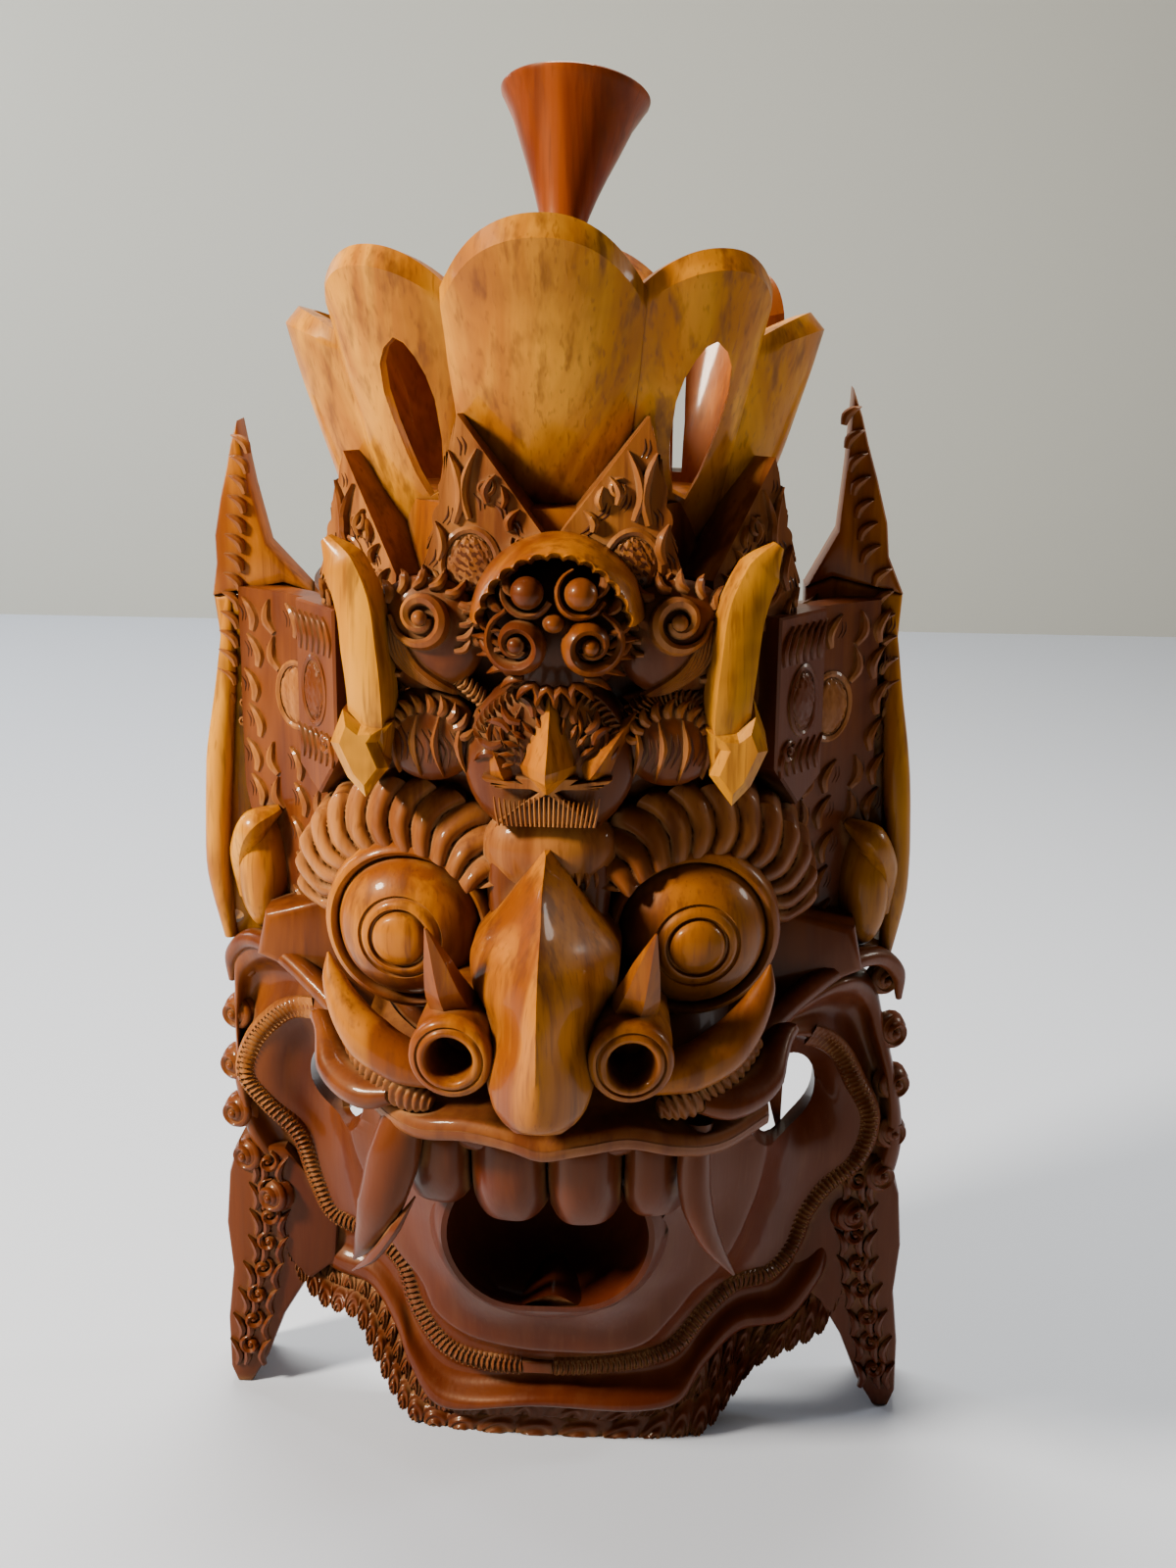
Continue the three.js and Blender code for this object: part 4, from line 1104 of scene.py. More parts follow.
    def fan(self, shop: Workshop) -> None:
        """The arched fan with its pyramid beak and two spikes, the grooved fringe and the smooth arch under it."""
        carving = Carving("fan")
        face = self.dome((0, -84, 338), (35, 35), 15, 0)
        carving.turned([(0, 13), (14, 12.6), (24, 11), (31, 7.5), (33.5, 4), (34, -10), (0, -10)], 56, at(0, -84, 338))
        rim = [(31 * math.cos(math.radians(angle)), 338 + 31 * math.sin(math.radians(angle))) for angle in range(160, 19, -10)]
        carving.stroke(face, rim, (1.0, 1.5, 1.0), 1.8, 8, 36)
        carving.tufts(face, rim, 26, -5.0, 0.3, 1.3, 2.2)
        for side in SIDES:
            for step in range(3):
                x = 10 + 5 * step
                carving.stroke(face, [(side * x, 360 - 2 * step), (side * (x + 2.5), 353 - 2 * step), (side * (x + 1), 346 - 2 * step)],
                               (0.3, 1.1, 0.3), 1.5, 6, 8)
        for step in range(11):
            swing = math.radians(mix(172, 8, step / 10))
            root = (19 * math.cos(swing), 338 + 19 * math.sin(swing))
            tip = (28.5 * math.cos(swing + 0.12), 338 + 28.5 * math.sin(swing + 0.12))
            carving.flame(face, root, tip, 0.8 if step % 2 else -0.8, 2.2, 2.6)
            swing += 0.14
            carving.stroke(face, [(13 * math.cos(swing), 338 + 13 * math.sin(swing)),
                                  (19 * math.cos(swing + 0.1), 338 + 19 * math.sin(swing + 0.1))], (0.3, 1.4, 0.3), 2.2, 6, 6)
        gouge_shadows = Carving("fan_gouge_shadows")
        gouge_shadows.gouges(face, [(side * x, z, side * 0.1) for side in SIDES for x, z in ((13, 354), (21, 347), (12, 342))], 9, 0.8)
        shop.set_down(gouge_shadows, Finish.GOUGE_SHADOW)
        shop.set_down(carving, Finish.BROWN)

        spikes = Carving("spikes")
        self.spike(spikes, (1, 366), (0, 327), 11.5, -96, -113)
        self.spike(spikes, (-27, 357), (-14, 326), 8.5, -91, -101)
        self.spike(spikes, (34, 358), (13, 329), 9.5, -90, -104)
        shop.set_down(spikes, Finish.HONEY, crease=20, waver=0.2)

        fringe = Carving("fringe")
        outline = [(-25, 333)]
        for number, (left, right, top) in enumerate(((-25, -12, 4), (-12, 12, 6), (12, 25, 4))):
            for step in range(1, 9):
                share = step / 8
                sag = math.sin(math.pi * share) * top
                outline.append((mix(left, right, share), mix(333, 333, share) - sag))
        outline += [(20, 313), (-20, 313)]
        fringe.board(outline, -101, 26, bevel=0.8)
        ground = board_face(-101)
        for number in range(22):
            x = mix(-19.5, 19.5, number / 21)
            fringe.stroke(ground, [(x * 0.94, 314), (x, 320), (x * 1.04, 326 - 2 * hill(abs(x), 12, 6))],
                          (0.55, 0.62, 0.3), 1.3, 5, 4)
        fringe.ball(at(0, -82, 300), (27, 17, 20), 36, 24)
        for number in range(5):
            x = mix(6, 20, number / 4)
            fringe.flame(board_face(-96.5 + 0.02 * x * x), (x, 296 - 0.3 * number), (x + 2.5, 287 - 0.5 * number), 0.6, 1.5, 2.6)
        shop.set_down(fringe, Finish.DUSTY)

    @staticmethod
    def spike(carving: Carving, tip: Flat, foot: Flat, half: float, root: float, front: float) -> None:
        """A sharp three-sided spike with a crest down its middle."""
        run = Vector((foot[0] - tip[0], foot[1] - tip[1]))
        across = Vector((-run.y, run.x)).normalized()

        def place(u: float, v: float, w: float) -> Vector:
            side = 2 * u - 1
            body = min(v / 0.72, 1.0) if v < 0.72 else 1 - ((v - 0.72) / 0.28) ** 2 * 0.55
            reach = half * body * side
            depth = mix(root, mix(front, root, abs(side)), min(body, 1.0) * (1 if v < 0.85 else 0.8))
            return at(tip[0] + run.x * v + across.x * reach, root + 12 if w else depth, tip[1] + run.y * v + across.y * reach)

        carving.slab(8, 18, place)

    def build(self, shop: Workshop) -> None:
        """All of the band."""
        self.medallion(shop)
        self.side_fields(shop)
        self.fan(shop)


@dataclass
class Horns:
    """Two square horns that stand on faceted blocks beside the band."""

    path: tuple = ((68, -79, 336), (68, -87, 356), (70, -88, 378), (73, -86, 398), (79, -84, 412), (86, -82, 421))

    def build(self, shop: Workshop) -> None:
        """Both horns, their blocks and the carved panels behind them."""
        carving = Carving("horns")
        panels = Carving("horn_panels")
        for side in SIDES:
            self.horn(carving, side)
            block = sided(side, [(60, 352), (66, 344), (72, 351), (79, 357), (84, 344), (78, 330), (71, 322), (62, 334)])
            carving.board(block, -97, 36, bevel=3.5)
            pivot = at(side * 96, -40, 350)
            outline = sided(side, [(80, 388), (112, 388), (112, 318), (96, 308), (80, 326)])
            panels.board(outline, -44, 18, side * 0.9, pivot, bevel=1)
            ground = board_face(-44, side * 0.9, pivot)
            panels.hatch(ground, (side * 97, 352), (9, 14), 1.3)
            for step in range(6):
                x = mix(84, 108, step / 5)
                panels.flame(ground, (side * x, 368), (side * (x + 3), 384), side * 0.6, 2.0, 1.8)
                panels.flame(ground, (side * x, 322), (side * (x + 2), 336), side * 0.6, 1.7, 1.6)
            panels.scroll(ground, (side * 88, 332), 5, 1.3, 0.1, side, 1.4, 2)
        shop.set_down(carving, Finish.GOLD, crease=25)
        shop.set_down(panels, Finish.BROWN)

    def horn(self, carving: Carving, side: int) -> None:
        """A square-cut horn: a broad front face and a narrow inner one."""
        path = sided(side, self.path)
        shape = Rail(path)
        facing = at(side * 0.35, -1, 0).normalized()
        half = (8.4, 8.4, 8.6, 8.6, 8.0, 2.4)
        deep = (10, 9.5, 9, 8.4, 7, 1.6)

        def place(u: float, v: float, w: float) -> Vector:
            ahead = shape.ahead(v)
            across = ahead.cross(facing).normalized()
            lift = across.cross(ahead).normalized()
            breadth, depth = graded(half, v), graded(deep, v)
            bulge = 1.2 * (1 - (2 * u - 1) ** 2)
            reach = (2 * u - 1) * breadth * 0.86
            return shape.at(v) + across * reach + lift * ((depth * 0.78 + bulge) * (1 - 2 * w))

        carving.slab(8, 40, place)


# ---------------------------------------------------------------- brows, eyes, nose

@dataclass
class Eyes:
    """Bulging eyes of concentric rings under fluted brows."""

    x: float = 58
    z: float = 263
    ball: float = 30
    socket: float = 36
    pupil: float = 11
    front: float = -82
    locks: int = 12

    def build(self, shop: Workshop) -> None:
        """Eyeballs and brows."""
        eyes = Carving("eyes")
        for side in SIDES:
            pupil, ball, socket = self.pupil, self.ball, self.socket
            profile = [
                (0, 13), (pupil * 0.45, 12.7), (pupil * 0.8, 11.6), (pupil - 0.4, 10.2), (pupil, 8.6), (pupil + 0.5, 7.4),
                (pupil + 1.2, 7.6), (pupil + 1.8, 9.2), (pupil + 2.6, 9.2), (15.5, 8.2), (16.4, 6.4), (17, 6.2), (17.6, 7.2),
                (20, 6.0), (24, 3.2), (27.5, -0.8), (29.4, -5.2), (ball + 0.2, -6.5), (ball + 1.0, -3.6), (ball + 2.5, -2.8),
                (ball + 4.4, -3.6), (socket, -7), (socket + 1.5, -16), (socket + 3, -36), (0, -36),
            ]
            eyes.turned(profile, 72, at(side * self.x, self.front, self.z), at(side * 0.16, -1, -0.04))
        shop.set_down(eyes, Finish.HONEY, crease=50, waver=0.25)

        brows = Carving("brows")
        for side in SIDES:
            self.brow(brows, side)
        shop.set_down(brows, Finish.DUSTY, crease=50)

    def brow(self, carving: Carving, side: int) -> None:
        """A crescent of thick flutes that leans round the eye."""
        def shape(u: float, v: float) -> Vector:
            flute = self.locks * (u + 0.045 * math.sin(math.pi * v * 0.9) - 0.02)
            part = flute % 1
            ridge = math.sin(math.pi * part) ** 0.6
            hook = part - 0.5
            swing = math.radians(mix(-10, 142, u) + 10 * v)
            outer = mix(46, 58, math.sin(u * math.pi * 0.8)) + 3.4 * ridge * ease(v, 0.6, 1)
            reach = mix(33, outer, v)
            front = mix(-36, -80, u ** 0.8) - mix(9, 3, v)
            crest = math.sin(math.pi * clamp(v * 0.92 + 0.06)) ** 0.6
            lift = (2.0 + 5.2 * ridge + 1.4 * hook) * (0.35 + 0.65 * crest)
            return at(side * (self.x + reach * math.cos(swing)), front - lift, self.z + reach * math.sin(swing))

        def back(u: float, v: float) -> Vector:
            spot = shape(u, v)
            return at(spot.x, mix(-36, -80, u ** 0.8) + 22, spot.z)

        carving.relief(self.locks * 16, 22, shape, back)


@dataclass
class Nose:
    """The beaked nose with its bridge, tube nostrils and the small horns beside them."""

    sections: tuple = (
        (204, 9, -142, -140), (207, 14, -147, -137), (212, 18, -150, -134), (226, 22, -153, -124), (240, 22, -153, -116),
        (252, 28, -151, -110), (265, 29, -147, -105), (280, 18, -138, -104), (293, 9, -124, -102), (304, 1, -106, -100),
    )
    nostril_x: float = 35
    nostril_z: float = 229
    nostril_front: float = -131

    def build(self, shop: Workshop) -> None:
        """Nose, bridge, nostrils and horns."""
        nose = Carving("nose")
        rows = Rail([(half, ridge, edge) for _, half, ridge, edge in self.sections])
        heights = Rail([(height, 0, 0) for height, *_ in self.sections])

        def place(u: float, v: float, w: float) -> Vector:
            half, ridge, edge = rows.at(v)
            across = 2 * u - 1
            crease = mix(2.1, 1.25, ease(v, 0.1, 0.5))
            front = mix(ridge, edge, abs(across) ** crease)
            return at(half * across, -58 if w > 0.5 else front, heights.at(v).x)

        nose.slab(24, 54, place)
        shop.set_down(nose, Finish.HONEY, crease=45)

        bridge = Carving("bridge")
        outline = [(-19, 262), (19, 262), (24, 276), (25, 290), (23, 302), (21, 310), (-21, 310), (-23, 302), (-25, 290), (-24, 276)]
        bridge.board(outline, -93, 34, bevel=7, rounds=4)
        shop.set_down(bridge, Finish.BROWN)

        nostrils = Carving("nostrils")
        for side in SIDES:
            profile = [
                (0, -24), (7.6, -24), (8.8, -8), (9.2, -1), (9.9, 0.7), (11.2, 1.2), (12.4, 0.6), (12.9, -0.6), (13.3, -0.8),
                (13.8, 0.2), (15.2, 0.0), (16.4, -1.6), (16.9, -4), (16.2, -7.5), (16.4, -12), (17.6, -18), (19.5, -56), (0, -56),
            ]
            nostrils.turned(profile, 56, at(side * self.nostril_x, self.nostril_front, self.nostril_z), at(side * 0.12, -1, -0.05))
        shop.set_down(nostrils, Finish.HONEY, crease=55, waver=0.2)

        horns = Carving("eye_horns")
        for side in SIDES:
            path = sided(side, [(32, -106, 236), (37, -117, 252), (40, -123, 266), (43.5, -130, 282)])
            horns.limb(path, (11, 9, 5.5, 0.5), (10, 8, 5, 0.5), 6, 20, at(side * 0.3, -1, 0.2))
        shop.set_down(horns, Finish.HONEY, crease=40, waver=0.2)


# ---------------------------------------------------------------- mouth

@dataclass
class Mouth:
    """Lips, teeth, fangs, moustache and the bowl of the open mouth."""

    lip: tuple = (
        (-84, -70, 199), (-71, -88, 192), (-52, -106, 189), (-30, -115, 192), (-13, -120, 191), (0, -122, 188),
        (16, -120, 190), (33, -115, 191), (52, -107, 185), (70, -93, 180), (90, -72, 184),
    )
    edges: tuple = (-62, -32, 0, 31, 59)
    feet: tuple = (143, 139, 138, 140)
    tooth_top: float = 186
    tooth_front: float = -100
    bowl: Point = (-1, -69, 124)
    bowl_half: Flat = (43, 37)

    def build(self, shop: Workshop) -> None:
        """All of the mouth."""
        self.upper_lip(shop)
        self.teeth(shop)
        self.fangs(shop)
        self.moustache(shop)
        self.cup(shop)

    def upper_lip(self, shop: Workshop) -> None:
        """A wavy shelf over the teeth, with a rolled edge."""
        carving = Carving("upper_lip")
        edge = Rail(self.lip)

        def place(u: float, v: float, w: float) -> Vector:
            rim = edge.at(u)
            root = at(rim.x * 0.92, min(rim.y + 38, -40), rim.z + mix(16, -8, w))
            tip = at(rim.x, rim.y, rim.z)
            roll = math.pi * (v - 0.8) / 0.4 if v > 0.8 else 0.0
            thick = 4.8 if v <= 0.8 else 4.8 * math.cos(min(roll, math.pi / 2))
            out = tip.lerp(root, 1 - min(v / 0.8, 1.0))
            nudge = (tip - root).normalized() * (3.0 * math.sin(min(roll, math.pi / 2)))
            sag = -3.0 * math.sin(math.pi * min(v / 0.8, 1)) if w < 0.5 else 0.0
            return out + nudge + at(0, 0, (thick if w < 0.5 else -thick) + sag)

        carving.slab(120, 30, place)
        shop.set_down(carving, Finish.DUSTY, crease=60)

    def teeth(self, shop: Workshop) -> None:
        """Four broad rounded teeth."""
        carving = Carving("teeth")
        for number, low in enumerate(self.feet):
            left, right = self.edges[number] + 0.5, self.edges[number + 1] - 0.5

            def place(u: float, v: float, w: float) -> Vector:
                across = 2 * u - 1
                arc = ((left + right) / 2 + across * (right - left) / 2)
                bend = (arc / 60) ** 2 * 12
                round_off = 10 * abs(across) ** 2.8 + 12 * (1 - v) ** 3.4 + 7 * v ** 5
                height = mix(low + 5 * across ** 4, self.tooth_top, v)
                return at(arc, -58 if w > 0.5 else self.tooth_front - 1 + bend + round_off, height)

            carving.slab(20, 20, place)
        shop.set_down(carving, Finish.BROWN, crease=50)

    def fangs(self, shop: Workshop) -> None:
        """The long fangs at the corners, with a dark sliver beside the left one."""
        carving = Carving("fangs")
        carving.limb([(-58, -92, 188), (-63, -95, 168), (-69, -93, 146), (-76, -84, 126), (-84, -73, 110)],
                     (9, 11, 9.5, 6, 0.6), (9, 8, 6, 4, 0.6), 12, 26)
        carving.limb([(-54, -95, 152), (-62, -95, 138), (-72, -90, 122), (-83, -82, 110)], (0.4, 2.4, 2.4, 0.3), (1, 4, 4, 0.6), 8, 18)
        carving.limb([(61, -90, 188), (60, -93, 168), (62, -92, 150), (68, -88, 132), (78, -80, 113)],
                     (6.5, 7, 6.5, 4.5, 0.6), (8, 8, 7, 5, 0.6), 12, 26)
        shop.set_down(carving, Finish.BROWN, crease=45)

    def moustache(self, shop: Workshop) -> None:
        """Flame curls beside the nostrils, ribbed rolls of hair and the folds behind them."""
        flames = Carving("moustache_flames")
        hair = Carving("moustache_hair")
        folds = Carving("moustache_folds")
        for side in SIDES:
            flame = sided(side, [(40, -106, 212), (56, -104, 216), (70, -101, 224), (80, -96, 235), (86, -92, 247), (88, -90, 256)])
            flames.limb(flame, (6, 9.5, 10, 7.5, 4.5, 0.5), (8, 9.5, 9, 7, 4, 0.5), 14, 32)
            fold = sided(side, [(92, -54, 209), (84, -74, 200), (72, -90, 198), (60, -98, 201)])
            folds.limb(fold, (6, 9, 8, 5), (16, 15, 12, 8), 14, 24)
            roll = Rail(sided(side, [(84, -72, 216), (74, -84, 211), (64, -93, 205), (55, -100, 201), (45, -104, 198)]))

            def place(u: float, v: float, w: float) -> Vector:
                swing = math.tau * v
                rib = 0.8 + 0.2 * abs(math.sin(math.pi * (15 * u + 1.2 * v)))
                size = math.sin(math.pi * clamp(u * 0.9 + 0.06)) ** 0.5 * 9 * rib
                ahead = roll.ahead(u)
                across = ahead.cross(FRONT).normalized()
                lift = across.cross(ahead).normalized()
                core = roll.at(u)
                return core + (across * math.cos(swing) + lift * math.sin(swing)) * size * (0.02 if w > 0.5 else 1)

            hair.slab(120, 20, place)
        shop.set_down(flames, Finish.HONEY, crease=50)
        shop.set_down(hair, Finish.DUSTY, crease=60)
        shop.set_down(folds, Finish.BROWN, crease=60)

    def cup(self, shop: Workshop) -> None:
        """The smooth bowl with a wave in its lower edge, in very dark wood that paints the shade deep in the open
        mouth.
        """
        carving = Carving("mouth_bowl")
        x, y, z = self.bowl
        half_x, half_z = self.bowl_half

        def place(u: float, v: float, w: float) -> Vector:
            swing = math.tau * u
            grow = w * mix(2.5, 11, ease(v, 0, 0.4))
            depth = mix(-4, 52, (1 - math.cos(math.pi * v)) / 2) + grow * v
            reach = math.sqrt(max(1 - (max(depth, 0) / (52.5 + grow)) ** 2.4, 0))
            wave = 3.5 * hill(math.cos(swing), 0.0, 0.4) * (1 if math.sin(swing) < 0 else 0) * (1 - ease(v, 0, 0.3))
            return at(
                x + (half_x + grow) * reach * math.cos(swing), y + depth,
                z + (half_z + grow) * reach * math.sin(swing) + wave,
            )

        carving.slab(72, 28, place)
        shop.set_down(carving, Finish.SHADED_HOLLOW, crease=50)


# ---------------------------------------------------------------- flange and beard

CREST = (
    (-92, -44, 219), (-126, -20, 229), (-144, -4, 220), (-147, 0, 198), (-147, 0, 170), (-144, 2, 138), (-134, 5, 111),
    (-122, 9, 86), (-109, 6, 65), (-88, -4, 61), (-75, -15, 47), (-67, -23, 31), (-53, -34, 18), (-8, -43, 25),
    (54, -37, 25), (68, -24, 38), (84, -13, 50), (104, -7, 52), (118, -2, 70), (126, 8, 88), (144, 7, 106),
    (151, 2, 135), (148, 0, 165), (142, 0, 193), (136, -5, 212), (122, -22, 221), (94, -44, 212),
)
ROPE = (
    (-94, -34, 206), (-118, -17, 201), (-131, -10, 191), (-140, -6, 178), (-143, -5, 164), (-134, -5, 150),
    (-120, -5, 135), (-112, -5, 112), (-104, -8, 97), (-85, -17, 92), (-70, -24, 82), (-62, -30, 62), (-45, -38, 46),
    (-2, -43, 43), (50, -38, 50), (67, -28, 66), (80, -22, 76), (95, -14, 77), (105, -8, 87), (111, -5, 103),
    (120, -5, 117), (134, -5, 131), (139, -5, 151), (131, -6, 170), (124, -10, 184), (113, -19, 195), (98, -32, 202),
)
INNER = (
    (-80, -44, 200), (-82, -42, 191), (-84, -41, 182), (-86, -40, 173), (-87, -39, 163), (-88, -38, 153),
    (-87, -37, 142), (-82, -37, 127), (-76, -42, 112), (-68, -46, 99), (-58, -50, 88), (-50, -53, 74), (-34, -57, 65),
    (-2, -59, 61), (38, -57, 64), (52, -53, 76), (60, -49, 86), (70, -45, 94), (78, -42, 106), (84, -38, 120),
    (88, -37, 134), (89, -38, 147), (88, -39, 160), (87, -40, 171), (86, -41, 182), (84, -42, 191), (82, -44, 199),
)
THROAT = (
    (-62, -62, 196), (-62, -62, 186), (-62, -60, 176), (-62, -60, 166), (-60, -60, 156), (-58, -62, 146),
    (-50, -66, 138), (-45, -69, 125), (-43, -69, 116), (-40, -70, 107), (-34, -70, 98), (-26, -70, 90), (-15, -70, 88),
    (1, -71, 95), (17, -70, 88), (28, -70, 91), (35, -70, 100), (40, -70, 109), (42, -69, 118), (45, -68, 127),
    (52, -66, 138), (58, -62, 147), (60, -60, 157), (62, -60, 166), (62, -60, 176), (62, -62, 186), (62, -62, 196),
)


@dataclass
class Flange:
    """The ruffled flange round the mouth, with its thick rim, bead line, cheek funnels and lower lip."""

    thick: float = 15
    hole: Flat = (99, 166)
    hole_half: Flat = (15, 17)
    bead_pitch: float = 2.5

    def __post_init__(self) -> None:
        """Sets out the four lines that the flange follows."""
        self.lines = [Rail(points) for points in (CREST, ROPE, INNER, THROAT)]

    def face(self, u: float, v: float) -> Vector:
        """A point of the flange's front, from its rim (v = 0) in to the throat (v = 1)."""
        rim, bead, edge, throat = (line.at(u) for line in self.lines)
        outward = rim - bead
        outward.y = 0
        outward.normalize()
        sections = (
            (0.0, rim + outward * 1.5 + at(0, 13, 0)), (0.04, rim + outward * 4.2 + at(0, 8, 0)),
            (0.08, rim + outward * 3.6 + at(0, 1.0, 0)), (0.13, rim + outward * 0.8 + at(0, -2.0, 0)),
            (0.19, rim.lerp(bead, 0.14) + at(0, -0.6, 0)), (0.27, rim.lerp(bead, 0.36) + at(0, 6.5, 0)),
            (0.35, rim.lerp(bead, 0.58) + at(0, 8.5, 0)), (0.42, rim.lerp(bead, 0.8) + at(0, 4.0, 0)),
            (0.5, bead), (0.56, self.dish(bead, edge, 0.2)), (0.64, self.dish(bead, edge, 0.45)),
            (0.72, self.dish(bead, edge, 0.7)), (0.8, self.dish(bead, edge, 0.92)), (0.85, edge),
            (0.9, edge.lerp(throat, 0.4) + at(0, 2.4, 0)), (1.0, throat),
        )
        upper = next(place for place, row in enumerate(sections) if row[0] >= v - 1e-9)
        upper = max(upper, 1)
        first = upper - 1
        low, high = sections[first], sections[upper]
        share = clamp((v - low[0]) / (high[0] - low[0]))
        before = sections[max(first - 1, 0)]
        after = sections[min(upper + 1, len(sections) - 1)]
        gap = high[0] - low[0]
        leave = (high[1] - before[1]) * (gap / max(high[0] - before[0], 1e-9))
        arrive = (after[1] - low[1]) * (gap / max(after[0] - low[0], 1e-9))
        square, cube = share * share, share ** 3
        return (
            low[1] * (2 * cube - 3 * square + 1) + leave * (cube - 2 * square + share)
            + high[1] * (3 * square - 2 * cube) + arrive * (cube - square)
        )

    def dish(self, bead: Vector, edge: Vector, share: float) -> Vector:
        """The hollow of the cheek between the bead line and the mouth, deepest round the hole."""
        spot = bead.lerp(edge, share)
        away = math.hypot((abs(spot.x) - self.hole[0]) / 22, (spot.z - self.hole[1]) / 26)
        spot.y += 6 * math.sin(math.pi * share) + 24 * math.exp(-away ** 2) * math.sin(math.pi * clamp(share * 1.1)) ** 0.5
        return spot

    def build(self, shop: Workshop) -> None:
        """The flange, its bead line, the tendrils at its ends and the fins in the cheek holes."""
        carving = Carving("flange")

        def place(u: float, v: float, w: float) -> Vector:
            spot = self.face(u, v)
            if w > 0.5:
                spot.y += mix(5, self.thick, ease(v, 0, 0.3)) if v < 0.9 else mix(self.thick, 40, (v - 0.9) / 0.1)
            return spot

        carving.slab(360, 76, place)
        for side in SIDES:
            carving.pierce((side * self.hole[0], self.hole[1]), self.hole_half)
        shop.set_down(carving, Finish.BROWN, crease=60, waver=0.5)
        self.rope(shop)
        self.tendrils(shop)

    def rope(self, shop: Workshop) -> None:
        """The bead line: overlapping crescents that lean opposite ways on the two sides."""
        carving = Carving("bead_line")
        line = self.lines[1]
        for first, last, hand in ((0.03, 0.487, 1), (0.513, 0.97, -1)):
            start, end = first, last
            span = Rail([line.at(line.even(mix(start, end, step / 80))) for step in range(81)])
            count = int(span.length() / self.bead_pitch)

            def shape(u: float, v: float) -> Vector:
                along = span.even(u)
                across = 2 * v - 1
                ahead = span.ahead(along)
                side = Vector((ahead.z, 0, -ahead.x)).normalized()
                phase = (count * u * hand + 0.9 * (1 - across ** 2)) % 1
                fade = ease(u if hand > 0 else 1 - u, 0.0, 0.12)
                lift = math.sqrt(max(1 - across ** 2, 0)) * (1.6 + 3.0 * phase ** 0.8) * (0.35 + 0.65 * fade)
                return span.at(along) + side * (across * 5.0) + at(0, 1.2 - lift, 0)

            def back(u: float, v: float) -> Vector:
                return shape(u, v) + at(0, 4, 0)

            carving.relief(count * 5, 8, shape, back)
        middle = line.at(line.even(0.5))
        carving.board([(middle.x - 7, middle.z - 3), (middle.x + 7, middle.z - 3), (middle.x + 7, middle.z + 3), (middle.x - 7, middle.z + 3)],
                      middle.y - 2, 6, bevel=1.2, rounds=2)
        shop.set_down(carving, Finish.DUSTY, crease=50, waver=0.5)

    def tendrils(self, shop: Workshop) -> None:
        """Smooth hooked tendrils along the flange's upper ends, and the wedge fins in the cheek holes."""
        carving = Carving("tendrils")
        for side in SIDES:
            path = sided(side, [(150, 4, 206), (148, -1, 220), (138, -10, 231), (122, -25, 232), (104, -40, 224), (88, -54, 214), (76, -68, 208)])
            carving.limb(path, (1.5, 3.6, 4.2, 4.6, 5, 5, 2.5), (1.5, 4, 5, 5.5, 6, 6, 3), 12, 44)
        shop.set_down(carving, Finish.BROWN)
        fins = Carving("cheek_fins")
        for side in SIDES:
            def place(u: float, v: float, w: float) -> Vector:
                middle = side * mix(98, 93, v)
                half = 3 if w > 0.5 else mix(1.2, 6, v)
                return at(middle + (2 * u - 1) * half, 30 if w > 0.5 else mix(-4, -20, v), mix(146, 190, v))

            fins.slab(6, 24, place)
        shop.set_down(fins, Finish.DUSTY)


@dataclass
class Beard:
    """The scalloped beard of curls behind the flange, and the snail curls down its sides."""

    lobes: int = 34
    line: tuple = (
        (-134, 6, 92), (-124, 3, 60), (-111, -1, 46), (-96, -6, 43), (-87, -12, 30), (-78, -18, 14), (-66, -24, 2),
        (-40, -28, -2), (2, -30, -3), (44, -29, -2), (68, -25, 2), (80, -19, 15), (92, -12, 29), (108, -5, 34),
        (124, 2, 42), (138, 6, 92),
    )
    snails: tuple = (
        (127, -2, 237, 8), (142, 4, 215, 8), (147, 5, 190, 9), (149, 5, 165, 9), (149, 5, 141, 9), (145, 5, 119, 9),
        (133, 2, 100, 9),
    )

    def build(self, shop: Workshop) -> None:
        """The beard and the snails."""
        carving = Carving("beard")
        foot = Rail(self.line)
        crest = Rail(CREST[6:21])
        middle = 0.5

        def shape(u: float, v: float) -> Vector:
            low, high = foot.at(u), crest.at(u) + at(0, 10, 4)
            outward = low - high
            outward.y = 0
            outward.normalize()
            hand = 1 if u > middle else -1
            scallop = abs(math.sin(math.pi * self.lobes * u))
            low = low + outward * (3.0 * scallop ** 0.6 - 2)
            row = v * 2.4
            shift = 0.5 * (int(row) % 2)
            cell = (self.lobes * u + shift) % 1
            inside = row % 1
            arc = math.hypot((cell - 0.5) * 1.5, inside * 0.9)
            groove = 0.5 + 0.5 * math.cos(math.tau * 3.2 * arc + hand * 0.8 * (cell - 0.5) * 4)
            dome = math.sqrt(max(1 - min(arc, 1) ** 2, 0))
            spot = low.lerp(high, v)
            spot.y += 2.0 - 4.2 * dome - 1.3 * groove * dome
            spot.z = max(spot.z, 0.3)
            return spot

        def back(u: float, v: float) -> Vector:
            spot = foot.at(u).lerp(crest.at(u) + at(0, 10, 4), v)
            return at(spot.x, spot.y + 22, max(spot.z, 0.3))

        carving.relief(self.lobes * 20, 54, shape, back)
        shop.set_down(carving, Finish.BROWN, crease=60, waver=0.5)
        snails = Carving("snail_curls")
        for side in SIDES:
            for x, y, z, size in self.snails:
                snails.snail(at(side * x, y, z), size, side, at(side * 0.5, -1, 0))
        shop.set_down(snails, Finish.BROWN, crease=50)


# ---------------------------------------------------------------- ears, wings and feet

